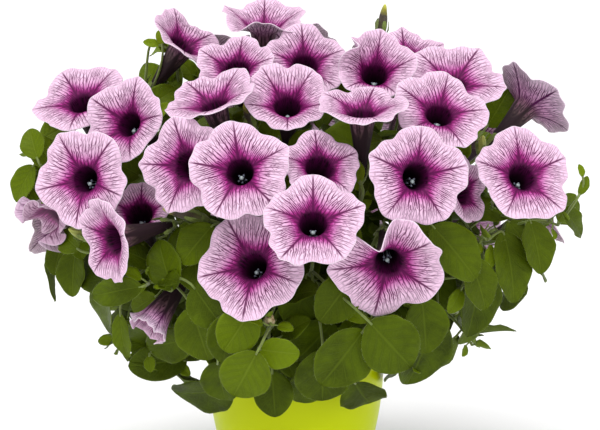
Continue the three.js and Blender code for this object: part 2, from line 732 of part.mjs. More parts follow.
// Tries a leaf as it is, then turned, moved and made smaller, and keeps the first whose blade is clear.
// Its stalk may pass through a blade of its own stem only where nothing better is found.
function growLeaf(row, tries, light) {
  return growLeafWith(row, tries, light, ['stem']) || growLeafWith(row, tries, light, ['stem', 'leaf']);
}

function growLeafWith(row, tries, light, joins) {
  for (const { turn, lift, size, slide } of tries) {
    const [around, up, reach, heading, length, width] = row;
    const moved = [around + slide, up, reach, heading + turn, length * size, width * size];
    const leaf = leafOf(moved, lift, light);
    const root = rootOf(leaf);
    if (root.distance > PETIOLE.longest) continue;
    const blade = makeLeaf(leaf, mix([root.at, 1 - PETIOLE.bare], [leaf.base, PETIOLE.bare]));
    if (!isClear(blade, '')) continue;
    const piece = makeLeaf(leaf, root.at);
    if (!isClear(piece, root.stem.name, joins)) continue;
    grow(root.stem, piece, 'leaf');
    return true;
  }
  return false;
}

const FILL_TRIES = [[0, 1], [-9, 0.9], [7, 0.9], [-18, 0.8], [-4, 0.7]].flatMap(([lift, size]) => (
  [0, 30, -30, 60, -60].map((turn) => ({ turn, lift, size, slide: 0 }))
));
const FRONT_TRIES = [0, -4, 4, -8, 8, -12, 12, -17, 17, -23].flatMap((lift) => (
  [[0, 0], [8, 0], [-8, 0], [0, 2], [0, -2]].map(([turn, slide]) => ({ turn, lift, size: 1, slide }))
));
FRONT_TRIES.push(...FRONT_TRIES.map((each) => ({ ...each, size: 0.85 })));

function fillRows() {
  const rows = [];
  for (let n = 0; n < FILL.count; n += 1) {
    const up = THREE.MathUtils.radToDeg(Math.asin(1 - (2 * (n + 0.5)) / FILL.count));
    if (up < FILL.lowest) break;
    const grown = 1 + FILL.spread * (draw(n + 300) - 0.5);
    const heading = 180 + FILL.swing * (draw(n + 500) - 0.5);
    const low = Math.min(Math.max(-up / FILL.tuckBelow, 0), 1); // low leaves at the sides are tucked in
    const reach = 1 - FILL.tuck * low * Math.sin(rad(n * TURN)) ** 2;
    rows.push([n * TURN, up, reach, heading, FILL.length * grown, FILL.width * grown]);
  }
  return rows;
}

// ---- Growing the plant ----
const missed = [];
place(makePot(), 'pot', 'pot');
place(makeSoil(), 'soil', 'soil');
const blooms = [...FRONT_BLOOMS, ...backBlooms()].map((row, k) => ({
  name: `bloom_${String(k + 1).padStart(2, '0')}`, ...bloomOf(row),
}));
for (const bloom of blooms) {
  const piece = makeBloom(bloom);
  if (!isClear(piece, bloom.name)) missed.push(bloom.name);
  place(piece, bloom.name, 'bloom');
}
LEANS.forEach((lean, k) => {
  const piece = makeStem(lean, stems[k].ends);
  if (!isClear(piece, stems[k].name)) missed.push(stems[k].name);
  grow(stems[k], piece, 'stem');
  addBuds(stems[k], bezierPath(stems[k].ends, STEM.steps), ...STEM.buds);
});
for (const bloom of blooms) {
  const base = mix([bloom.at, 1], [bloom.w, -TRUMPET.length]);
  if (!growStalk(bloom, base, null, bloom.name)) missed.push(`stalk of ${bloom.name}`);
}
BUDS.map(budOf).forEach((bud, k) => {
  if (!growStalk(bud, bud.base, bud, '')) missed.push(`bud ${k + 1}`);
});
LEANS.forEach(([around, up], k) => {
  if (up > STEEP) return;
  const grown = growShoot(stems[k], LOW_SHOOT.from, around, LOW_SHOOT.up, LOW_SHOOT.reach);
  if (!grown) missed.push(`low shoot of ${stems[k].name}`);
});
ARMS.forEach(([around, up, reach], k) => {
  const stem = stems[nearestStem(onShell(MOUND, around, up, reach).at)];
  if (!growShoot(stem, ARM_FROM, around, up, reach)) missed.push(`arm ${k + 1}`);
});
FRONT_LEAVES.forEach((row, k) => {
  if (!growLeaf(row, FRONT_TRIES, FRONT_LEAF_LIGHT)) missed.push(`front leaf ${k + 1}`);
});
fillRows().forEach((row) => growLeaf(row, FILL_TRIES, 0)); // a leaf that finds no room is left out
if (missed.length) throw new Error(`no clear place for ${missed.join(', ')}`);

// ---- The finished group ----
function meshOf(name, piece, { colour, roughness }) {
  const { vertProperties, triVerts } = piece.getMesh();
  const geometry = new THREE.BufferGeometry();
  geometry.setAttribute('position', new THREE.BufferAttribute(vertProperties, 3));
  geometry.setIndex(new THREE.BufferAttribute(triVerts, 1));
  geometry.computeVertexNormals();
  const material = new THREE.MeshStandardMaterial({ color: colour, roughness, metalness: 0 });
  const mesh = new THREE.Mesh(geometry, material);
  mesh.name = name;
  return mesh;
}

const plant = new THREE.Group();
plant.name = 'potted_petunia';
for (const { piece, owner, kind } of placed) {
  if (kind in FINISHES) plant.add(meshOf(owner, piece, FINISHES[kind]));
}
stems.forEach((stem) => plant.add(meshOf(stem.name, wasm.Manifold.union(stem.pieces), FINISHES.foliage)));

export default plant;
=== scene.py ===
import math

import bpy
import numpy as np
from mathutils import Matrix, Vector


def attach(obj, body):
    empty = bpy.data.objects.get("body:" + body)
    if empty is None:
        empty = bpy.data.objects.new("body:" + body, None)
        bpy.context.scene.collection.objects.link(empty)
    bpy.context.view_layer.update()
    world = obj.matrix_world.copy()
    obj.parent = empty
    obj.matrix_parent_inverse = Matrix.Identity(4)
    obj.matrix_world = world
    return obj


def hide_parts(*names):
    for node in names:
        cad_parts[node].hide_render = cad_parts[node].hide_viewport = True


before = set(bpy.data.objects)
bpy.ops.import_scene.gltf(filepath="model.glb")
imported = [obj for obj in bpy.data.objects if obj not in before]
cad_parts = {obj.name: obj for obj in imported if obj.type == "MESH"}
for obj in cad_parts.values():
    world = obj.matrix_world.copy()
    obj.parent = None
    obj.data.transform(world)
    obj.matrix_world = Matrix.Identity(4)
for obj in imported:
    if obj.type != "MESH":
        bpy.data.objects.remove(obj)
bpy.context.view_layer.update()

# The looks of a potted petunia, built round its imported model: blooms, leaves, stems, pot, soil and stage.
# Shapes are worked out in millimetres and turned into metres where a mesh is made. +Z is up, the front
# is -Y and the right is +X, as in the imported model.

MM = 0.001

bl_info = {
    "name": "Potted petunia",
    "version": (1, 0, 0),
    "blender": (4, 5, 0),
    "location": "3D View > Sidebar > Petunia",
    "description": "Builds the blooms, leaves, stems, pot and soil of a potted petunia",
    "category": "Add Mesh",
}

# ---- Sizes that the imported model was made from, mm and degrees ----
POT = {"height": 110, "base": 38, "top": 62.5, "wall": 1.5, "floor": 2, "rim": 64, "rim_height": 6,
       "bulge": 2.2}
DRAIN = {"count": 5, "radius": 3.5, "circle": 24}
SOIL = {"top": 98, "crown": 3, "inset": 0.39}
STEM_HOLE_DEPTH = 18
GAP = 0.3
UP = np.array([0.0, 0.0, 1.0])
LIGHT = np.array([0.0, -1.0, 0.3])  # where the front leaves at the sides turn their faces
FRONT_LEAF_LIGHT = 0.9
HEART = np.array([0.0, 0.0, 150.0])
CROWN = {"centre": [0, 0, 185], "reach": [192, 160, 158], "below": 158}
MOUND = {"centre": [0, 0, 165], "reach": [168, 140, 128], "below": 110}
STEM = {"root": 2.2, "tip": 1.6, "rise": 30, "fork": [98, 82, 92], "arrive": 30, "level": 8,
        "buds": (0.5, 1), "steps": 3}
FOOT = {"outer": 34, "inner": 13, "above": 4}
STEEP = 45
STALK = {"radius": 1.2, "steps": 3, "neck_length": 4, "leave": 0.3, "arrive": 0.42, "buds": (0.2, 0.85)}
CALYX = {"tip_radius": 6.2, "tip_height": 10}
SHOOT = {"radius": 1.4, "tip": 1.0, "steps": 3, "leave": 0.35, "arrive": 0.25, "droop": 0.2,
         "buds": (0.2, 1)}
LOW_SHOOT = {"start": 0.6, "up": -30, "reach": 0.86}
# The mound's arms, which hang out at the sides: around, up and reach of their ends.
ARM_START = 0.85
ARMS = [(72, 17, 1.16), (46, 18, 1.08), (22, 4, 1.02), (-5, -1, 1.1), (-33, 8, 1.04), (-90, 29, 1.12),
        (-104, 62, 1.06)]
LOBE = 72
TRUMPET = {"length": 44, "mouth": 8.5, "foot": 2.4, "flare": 3, "flare_rate": 6}
PETIOLE = {"shortest": 6, "ahead": 0.75, "rise": 0.65, "stray": 1.7}
BLADE = {"arch": 0.12, "keel": 0.12}
NEAR = 0.05  # a step along a curve that shows which way it runs
STRAIGHT_UP = 0.995  # a way that rises this much has no turn of its own

# The leafy stems: around (0 is the front, 90 the right) and up, of the way each one leans out.
LEANS = [(around, 12) for around in range(0, 360, 40)] + [(60, 62), (180, 62), (300, 62)]

# Blooms seen from the front: mouth x y z, then turn, tilt, roll, width, cup and any folded lobes.
FRONT_BLOOMS = [
    (-77, -25, 327, 58, 50, 20, 58, 24),
    (-22, -8, 335, 10, 82, 10, 68, 36, (0, 0, -24, -24, 0)),
    (-39, -66, 314, -10, 46, 5, 54, 22),
    (6, -46, 316, 8, 44, 0, 60, 14),
    (-5, -100, 295, 0, 48, 36, 62, 28),
    (-52, -104, 296, -42, 64, 0, 64, 20),
    (52, -66, 312, 2, 42, 10, 62, 32, (0, 0, 0, 0, 45)),
    (42, -126, 293, 0, 74, 18, 60, 18),
    (104, -58, 304, 6, 56, 36, 70, 12),
    (92, -104, 290, 12, 46, 20, 64, 12),
    (75, -148, 257, 15, 14, 8, 65, 8),
    (145, -112, 251, 20, 32, 0, 66, 10),
    (157, -20, 285, 122, 38, 0, 66, 20),
    (-34, -153, 261, -6, 22, -10, 64, 6),
    (11, -180, 233, 0, 38, 0, 63, 8),
    (-26, -146, 200, -18, 26, 36, 72, 8),
    (58, -156, 205, 2, -14, -22, 72, 8, (55, 25, 0, 0, 0)),
    (15, -142, 261, 14, 42, 0, 52, 12),
    (-67, -129, 261, -24, 14, -20, 62, 12),
    (-136, -99, 248, -22, 16, -36, 66, 10),
    (-109, -78, 281, -30, 26, 7, 62, 18),
    (-144, -34, 289, -20, 54, 28, 66, 12),
    (-102, -87, 222, -10, 38, 0, 44, 22),
    (-114, -133, 215, -52, -6, 0, 58, 20),
    (-161, -62, 219, -60, -34, 0, 56, 30, (50, -40, 60, -50, 40)),
    (-89, -112, 161, -50, -45, 0, 40, 66),
    (107, -97, 240, 56, 12, 0, 46, 20),
    (75, -16, 316, 6, 55, 0, 54, 14),
]
WILTED, CLOSING = 25, 26  # the numbers of the bloom that has withered and of the one that is folding up

# Blooms round the sides and back, in rows: how far up, then the first and last way around and a count.
BACK_ROWS = [(2, 96, 262, 6), (28, 112, 244, 5), (52, 128, 232, 3)]
BACK_BLOOM = {"reach": 0.97, "sway": 8, "width": 62, "width_spread": 8, "turn_spread": 24, "lift": 22,
              "steepest": 80, "cup": 8, "cup_spread": 14}

# Buds: tip x y z, then turn and tilt of the way they point, length and radius.
BUDS = [
    (63, 20, 357, 90, 82, 28, 3.2),
    (-90, -112, 232, -90, 14, 32, 3.6),
    (123, -80, 274, 20, 70, 12, 3),
    (-148, -96, 215, -70, 30, 14, 3),
    (-16, -150, 170, 10, 70, 8, 3.6),
    (-34, -104, 301, -40, 62, 24, 3),
]
WITHERED_BUD = 5

# Leaves seen from the front: around, up and reach of the blade's middle on the mound, the heading of
# its tip (0 is up, 90 right), length and width.
FRONT_LEAVES = [
    (-9, -13, 1.22, -153, 37, 33), (-3, -9, 1.2, 105, 26, 22), (-9, -2, 1.12, -146, 34, 28),
    (-14, -6, 1.06, -167, 36, 26), (-19, -26, 0.98, 173, 36, 26), (-4, -23, 1.1, -160, 38, 30),
    (6, -19, 1.05, 170, 42, 37), (9, -10, 1.14, -146, 46, 37), (4, -10, 1.05, -139, 38, 31),
    (1, 4, 1.1, -167, 36, 29), (8, 6, 1.1, -150, 35, 28), (16, -6, 1.14, 138, 44, 38),
    (27, -3, 1.08, 165, 38, 31), (35, 16, 1.1, 145, 46, 32), (41, 7, 1.1, 164, 37, 25),
    (50, 10, 1.1, 180, 48, 29), (55, 14, 1.18, -177, 36, 26), (72, 17, 1.22, 137, 32, 17),
    (74, 21, 1.26, 126, 24, 15), (38, 2, 1, -143, 18, 12), (42, 14, 1.2, 25, 18, 9),
    (44, 10, 1.2, 88, 17, 9), (-63, 6, 1, 174, 32, 25), (-36, 6, 1.16, -105, 40, 19),
    (-29, 14, 1.14, -25, 35, 24), (-23, 20, 1.02, -146, 32, 26), (-18, 3, 1.08, 142, 33, 26),
    (-33, -16, 1.02, -107, 42, 26), (-43, -11, 1, -177, 33, 14), (-22, -7, 0.98, 158, 38, 32),
    (-40, 0, 0.96, -121, 24, 16), (-57, 16, 1.1, -72, 26, 18), (-89, 33, 1.28, -86, 34, 22),
    (-90, 36, 1.2, -33, 33, 25), (-88, 24, 1.22, 180, 34, 22), (-99, 60, 1.18, -108, 40, 26),
    (-106, 70, 1.15, -101, 28, 18), (-99, 65, 1.34, -147, 24, 11), (103, 71, 1.04, 170, 34, 18),
    (16, 38, 1.12, -17, 20, 12), (93, 46, 1.23, 38, 22, 15),
]
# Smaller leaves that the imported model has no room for: middle x y z, then the turn and tilt of the way
# the blade faces, the heading of its tip (0 is up its face), length, width and how young it is.
MORE_LEAVES = [
    (-177, -40, 263, -20, 25, -25, 23, 18, 0.35), (-163, -10, 268, 0, 35, 60, 29, 21, 0.3),
    (-185, -30, 234, -30, 10, 205, 29, 19, 0.2), (-98, -20, 329, -10, 20, -80, 12, 6, 0.9),
    (-92, -20, 333, 0, 30, -15, 11, 6, 0.9), (-90, -18, 326, 10, 10, 140, 10, 6, 0.8),
    (-99, 8, 302, -10, 20, -35, 26, 20, 0.25), (-87, 2, 309, 0, 10, 10, 19, 10, 0.2),
    (-65, 10, 306, 10, 10, 15, 19, 10, 0.3), (-91, -50, 285, -10, 20, 40, 19, 9, 0.7),
    (56, -62, 289, 0, 40, 80, 26, 13, 0.2), (41, -95, 248, 10, 15, -5, 17, 12, 0.6),
    (46, -100, 234, 20, 15, 20, 14, 6, 0.7), (32, -90, 235, 0, 20, 160, 22, 16, 0.1),
    (78, -106, 214, 0, 40, 100, 32, 15, 0.3), (129, -70, 221, 10, 40, 95, 39, 19, 0.2),
    (192, -62, 238, 20, 20, 35, 15, 7, 0.5), (190, -62, 248, 20, 20, -10, 9, 5, 0.7),
    (38, -150, 168, 0, 25, -75, 18, 8, 0.85), (63, -150, 165, 10, 25, 108, 16, 8, 0.85),
    (48, -152, 163, 0, 10, 180, 11, 7, 0.8), (-92, -82, 121, -12, 18, 262, 41, 25, 0.1),
    (-14, -128, 112, 0, 5, 176, 30, 26, 0.15), (-115, -45, 129, -60, 0, 184, 33, 21, 0.1),
    (-114, -62, 142, -20, 30, -88, 12, 6, 0.5), (-96, -96, 124, -10, 20, 170, 11, 8, 0.4),
    (-125, -70, 194, -20, 20, -150, 27, 20, 0.2), (5, -90, 272, 0, 30, 60, 22, 13, 0.2),
    (32, -120, 212, 0, 20, 170, 26, 22, 0.1), (29, -120, 179, 0, 10, 190, 30, 23, 0.1),
    (-65, -90, 216, -10, 30, -60, 29, 20, 0.1), (-100, -40, 204, -20, 20, 200, 30, 23, 0.05),
    (95, -90, 173, 20, 10, 180, 29, 22, 0.1), (-36, -110, 147, 0, 10, 175, 30, 25, 0.1),
]
# Leaves that stand behind the others and close gaps in the mound: middle x y z, heading, length and
# width. Their turns, tilts and youth come round in rotation, and those right of "right" turn further.
GAP_LEAVES = [
    (140, -5, 283, 30, 30, 24), (-75, 10, 308, -40, 20, 13), (-179, -25, 233, 200, 28, 20),
    (-85, 0, 299, 20, 22, 16), (-171, -30, 256, -30, 26, 20), (-91, -20, 292, 60, 24, 18),
    (-162, -40, 184, 190, 24, 18), (152, -40, 200, 150, 24, 18), (-114, -60, 250, -60, 24, 20),
    (-143, -70, 199, 170, 20, 16), (108, -60, 263, 20, 22, 18), (-99, -60, 168, 150, 26, 20),
    (31, -30, 301, -20, 24, 18), (37, -60, 144, 170, 28, 22), (80, -60, 277, 10, 24, 18),
    (3, -90, 245, -80, 26, 20), (-34, -60, 278, 60, 24, 20), (-15, -60, 271, 10, 28, 22),
    (-49, -60, 279, -30, 24, 20), (-67, -80, 260, 100, 24, 20), (-107, -50, 255, 40, 22, 18),
    (-63, -90, 228, 150, 26, 20), (6, -100, 191, 160, 26, 20),
]
GAP_LEAF = {"turns": (-20, -6, 6), "tilts": (8, 22, 14, 28), "young": (0.1, 0.25, 0.05), "right": 3,
            "further": 16}
# How young the front leaves are, and those that aren't full-grown, by number.
YOUNG = 0.12
YOUNG_LEAVES = {1: 0.55, 2: 0.9, 3: 0.7, 20: 0.8, 21: 0.9, 22: 0.9, 31: 0.7, 38: 0.6, 40: 0.8}
# Leaves that fill the mound by a spiral, from its top down to "lowest".
FILL = {"count": 76, "lowest": -50, "length": 52, "width": 39, "spread": 0.24, "swing": 150, "tuck": 0.3,
        "tuck_below": 15}
TURN = 137.508  # the angle from each leaf of a spiral to the next

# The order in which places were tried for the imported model: the first clear one was kept.
FORKS = [0.97, 0.86, 0.75, 0.64, 0.92, 0.81, 0.7, 0.59]
BENDS = [(0, 0), (14, 0), (-14, 0), (0, 14), (0, -14), (26, 0), (-26, 0), (0, 26), (0, -26)]
SHOOT_BENDS = [(0, 0), (12, 0), (-12, 0), (0, 12), (24, 6), (-24, 6), (0, 24)]
FILL_TRIES = [(turn, lift, size, 0) for lift, size in [(0, 1), (-9, 0.9), (7, 0.9), (-18, 0.8), (-4, 0.7)]
              for turn in (0, 30, -30, 60, -60)]
FRONT_TRIES = [(turn, lift, size, slide) for size in (1, 0.85)
               for lift in (0, -4, 4, -8, 8, -12, 12, -17, 17, -23)
               for turn, slide in [(0, 0), (8, 0), (-8, 0), (0, 2), (0, -2)]]
MATCH = 0.01  # a vertex within this, in mm, is the one looked for
FEWEST_HITS, MOST_HITS = 4, 12  # a kept try has at least so many vertices, and a ring counts for so many

# ---- Sizes of the finer forms, mm ----
FOOT_ROUND, UNDER_ROUND, LIP_ROUND, MOUTH_ROUND = 1.4, 1, 1.2, 0.7
GRAINS = {"count": 150, "size": 1.2, "spread": 2.6, "long": 1.5, "pale_every": 7}
# A limb's rim, as shares of its radius, with waves as (how many round, how high, which draw).
NOTCH, SCALLOP, POINT, POINT_SPREAD = 0.09, 0.04, 0.015, 0.07
UNEVEN = ((2, 0.02, 2), (3, 0.015, 3))
FRILL = ((9, 0.012, 0), (17, 0.008, 1))
# The ruffles' waves round the rim and their weights, and how much more the odd blooms are ruffled.
RUFFLES = ((2, 0.5), (3, 0.6), (7, 0.42), (11, 0.38), (16, 0.2))
WILTED_RUFFLE, CLOSING_RUFFLE, CLOSING_PLEAT = 3.2, 2.2, 1.5
LIMB_RUN = 22.5  # from the mouth to the rim, on a bloom of the usual size
PISTIL = {"drop": 2.2, "bend": 18, "sag": 1.2, "end": 8, "radius": 0.45, "stigma": 7.1,
          "stigma_length": 2.2, "stigma_radius": 1.45}
STAMEN = {"depth": 9, "step": 2, "spread": 2.3, "radius": 0.3, "anther_length": 2.2, "anther_radius": 0.75}
SIDE_VEINS = {"pairs": 6, "lean": 1.9, "power": 0.8}
SEPAL = {"width": 3.6, "longer": 2, "spread": 1.6, "splay": 1.2}
CUP = {"heights": (-4.0, -2.4, -1.0, 0.4, 1.6), "radii": (STALK["radius"], 2.0, 3.0, 3.5, 3.3)}
BUD = {"young": 16, "shorter": 0.85, "folds": 5, "twist": 1.6}
HAIR_RADIUS = 0.05
STALK_RADII, SHOOT_RADII = (1.25, 1.1), (SHOOT["radius"], 0.9)
# How finely each kind of leaf is made, and its stalk's radii at both ends, sides and tone.
LEAF_KINDS = {
    "grown": {"grid": (17, 13), "stalk": (1.1, 0.75), "sides": 7, "tone": 0.3, "hairy": True},
    "inner": {"grid": (9, 7), "stalk": (0.8, 0.55), "sides": 5, "tone": 0.3, "hairy": False},
    "tuft": {"grid": (8, 5), "stalk": (0.7, 0.5), "sides": 5, "tone": 0.8, "hairy": True},
}
# Small inner leaves: where along stalks, shoots and stems they grow, how large they are and where they stop.
INNER = {"stalks": (0.28, 0.4, 0.52, 0.64, 0.74, 0.84), "shoots": (0.32, 0.44, 0.56, 0.68, 0.8, 0.92),
         "stem": (0.42, 0.54, 0.64, 0.74, 0.84, 0.94), "length": 17, "spread": 15, "tries": 4, "turn": 1.7,
         "above_pot": 4, "furthest": 1.12, "tone": 0.3}
TUFT = {"leaves": 4, "length": 14, "shorter": 2.2, "apart": 1.5, "tone": 0.85}
# What a small leaf keeps clear of: the space before, beside and behind a limb, and the tube.
CLEAR = {"before": 45, "beside": 3, "behind": 5, "tube": 7}
SEEDS = {"inner": 1000, "stalk": 3000, "shoot": 6000, "tuft": 8000}
PETAL_FACE, PETAL_BACK, PISTIL_SKIN = range(3)
STEM_SKIN, BUD_SKIN, PAPERY_SKIN = range(3)


# ---- Settings that a user would change ----
def tint(red, green, blue):
    """A screen colour, 0 to 255, as linear light."""
    share = np.array([red, green, blue]) / 255
    linear = np.where(share <= 0.04045, share / 12.92, ((share + 0.055) / 1.055) ** 2.4)
    return tuple(map(float, linear))


def colour_setting(name, description, colour):
    return bpy.props.FloatVectorProperty(
        name=name, description=description, subtype="COLOR", size=3, min=0, max=1, default=tint(*colour))


def length_setting(name, description, millimetres):
    return bpy.props.FloatProperty(
        name=name, description=description, default=millimetres * MM, min=0, subtype="DISTANCE",
        unit="LENGTH")


class BloomSettings(bpy.types.PropertyGroup):
    thickness: length_setting("Petal thickness", "How thick a petal is", 0.5)
    ruffle: length_setting("Ruffle", "How far the rim waves in and out of the limb", 1.3)
    recurve: length_setting("Recurve", "How far the rim rolls back", 1.8)
    rim_colour: colour_setting("Rim", "Pale colour near the rim", (236, 200, 226))
    limb_colour: colour_setting("Limb", "Colour half way out on the limb", (226, 174, 211))
    inner_colour: colour_setting("Inner limb", "Colour next to the throat", (166, 42, 130))
    throat_colour: colour_setting("Throat", "Dark colour in the tube", (38, 3, 30))
    vein_colour: colour_setting("Veins", "Colour of the dark veins", (86, 6, 68))


class FoliageSettings(bpy.types.PropertyGroup):
    thickness: length_setting("Blade thickness", "How thick a leaf blade is", 0.5)
    wave: length_setting("Edge wave", "How far the edge of a blade waves", 1.1)
    quilt: length_setting("Quilting", "How far a blade bulges between its side veins", 0.35)
    hair: length_setting("Hair length", "Length of the fine hairs", 1.2)
    old_colour: colour_setting("Old leaf", "Colour of full-grown leaves", (66, 82, 0))
    young_colour: colour_setting("Young leaf", "Colour of young leaves", (114, 136, 10))
    stem_colour: colour_setting("Stem", "Colour of stems and stalks", (104, 122, 44))


class PotSettings(bpy.types.PropertyGroup):
    plastic_colour: colour_setting("Plastic", "Colour of the pot", (206, 222, 0))
    soil_colour: colour_setting("Soil", "Colour of the potting soil", (44, 31, 22))
    crumb: length_setting("Crumbs", "How far the soil's crumbs stand up", 1.6)


class StageSettings(bpy.types.PropertyGroup):
    floor_colour: colour_setting("Floor", "Colour of the floor", (250, 250, 250))
    sky: bpy.props.FloatProperty(name="Sky", description="Strength of the even light", default=0.78, min=0)
    sun: bpy.props.FloatProperty(name="Sun", description="Strength of the main light", default=1.7, min=0)
    distance: length_setting("Camera distance", "From the camera to the middle of the plant", 1400)
    lens: bpy.props.FloatProperty(name="Lens", description="Focal length in mm", default=120, min=1)


# ---- Small maths ----
def unit(vectors):
    return vectors / np.linalg.norm(vectors, axis=-1, keepdims=True)


def draw(n):
    """A repeatable draw between 0 and 1 for the whole number n: the fraction left of a large sine."""
    return np.mod(np.sin(np.asarray(n) * 12.9898) * 43758.5453, 1)


def bezier(ends, t):
    """Points of the cubic curve with four given ends at the shares t."""
    t = np.asarray(t, float)[..., None]
    s = 1 - t
    return ends[0] * s**3 + ends[1] * 3 * s * s * t + ends[2] * 3 * s * t * t + ends[3] * t**3


def direction(around, up):
    a, u = math.radians(around), math.radians(up)
    return np.array([math.sin(a) * math.cos(u), -math.cos(a) * math.cos(u), math.sin(u)])


def facing(turn, tilt):
    """A bloom's or bud's axes: w the way it faces, v up its face, e to the right as seen from its face."""
    w = direction(turn, tilt)
    up = UP if abs(w[2]) < STRAIGHT_UP else np.array([0.0, 1.0, 0.0])
    v = unit(up - w * (up @ w))
    return {"w": w, "v": v, "e": np.cross(v, w)}


def on_shell(shell, around, up, reach):
    """A point of an ellipsoid shell, with its outward normal and its tangents to the right and up."""
    way = direction(around, up)
    x, y, z = shell["reach"]
    half = np.array([x, y, shell["below"] if way[2] < 0 else z], float)
    spot = way * half
    normal = unit(spot / half**2)
    a = math.radians(around)
    right = unit(np.array([x * math.cos(a), y * math.sin(a), 0.0]))
    return {"at": np.array(shell["centre"]) + spot * reach, "normal": normal, "right": right,
            "top": np.cross(normal, right)}


def round_way(axes, angle):
    """The way out at an angle round a face, from up its face towards its right."""
    return np.sin(angle)[..., None] * axes["e"] + np.cos(angle)[..., None] * axes["v"]


def along_path(path, shares):
    """Points at even shares of a path's count of points."""
    marks = np.linspace(0, 1, len(path))
    return np.stack([np.interp(shares, marks, path[:, k]) for k in range(3)], 1)


def grid_places(across, along):
    """The pattern's places on a grid: across it and along it."""
    return np.stack(np.broadcast_arrays(across, along[:, None]), -1)


def wobble(points, size, seed):
    """Smooth uneven heights from -1 to 1 at points: the mean of nine sines along drawn directions."""
    n = np.arange(9) + seed * 17
    ways = np.stack([draw(n) - 0.5, draw(n + 40) - 0.5, draw(n + 80) - 0.5], 1)
    phase = points @ (unit(ways).T * 2 * math.pi / size) + 2 * math.pi * draw(n + 120)
    return np.sin(phase).mean(-1) * 1.6


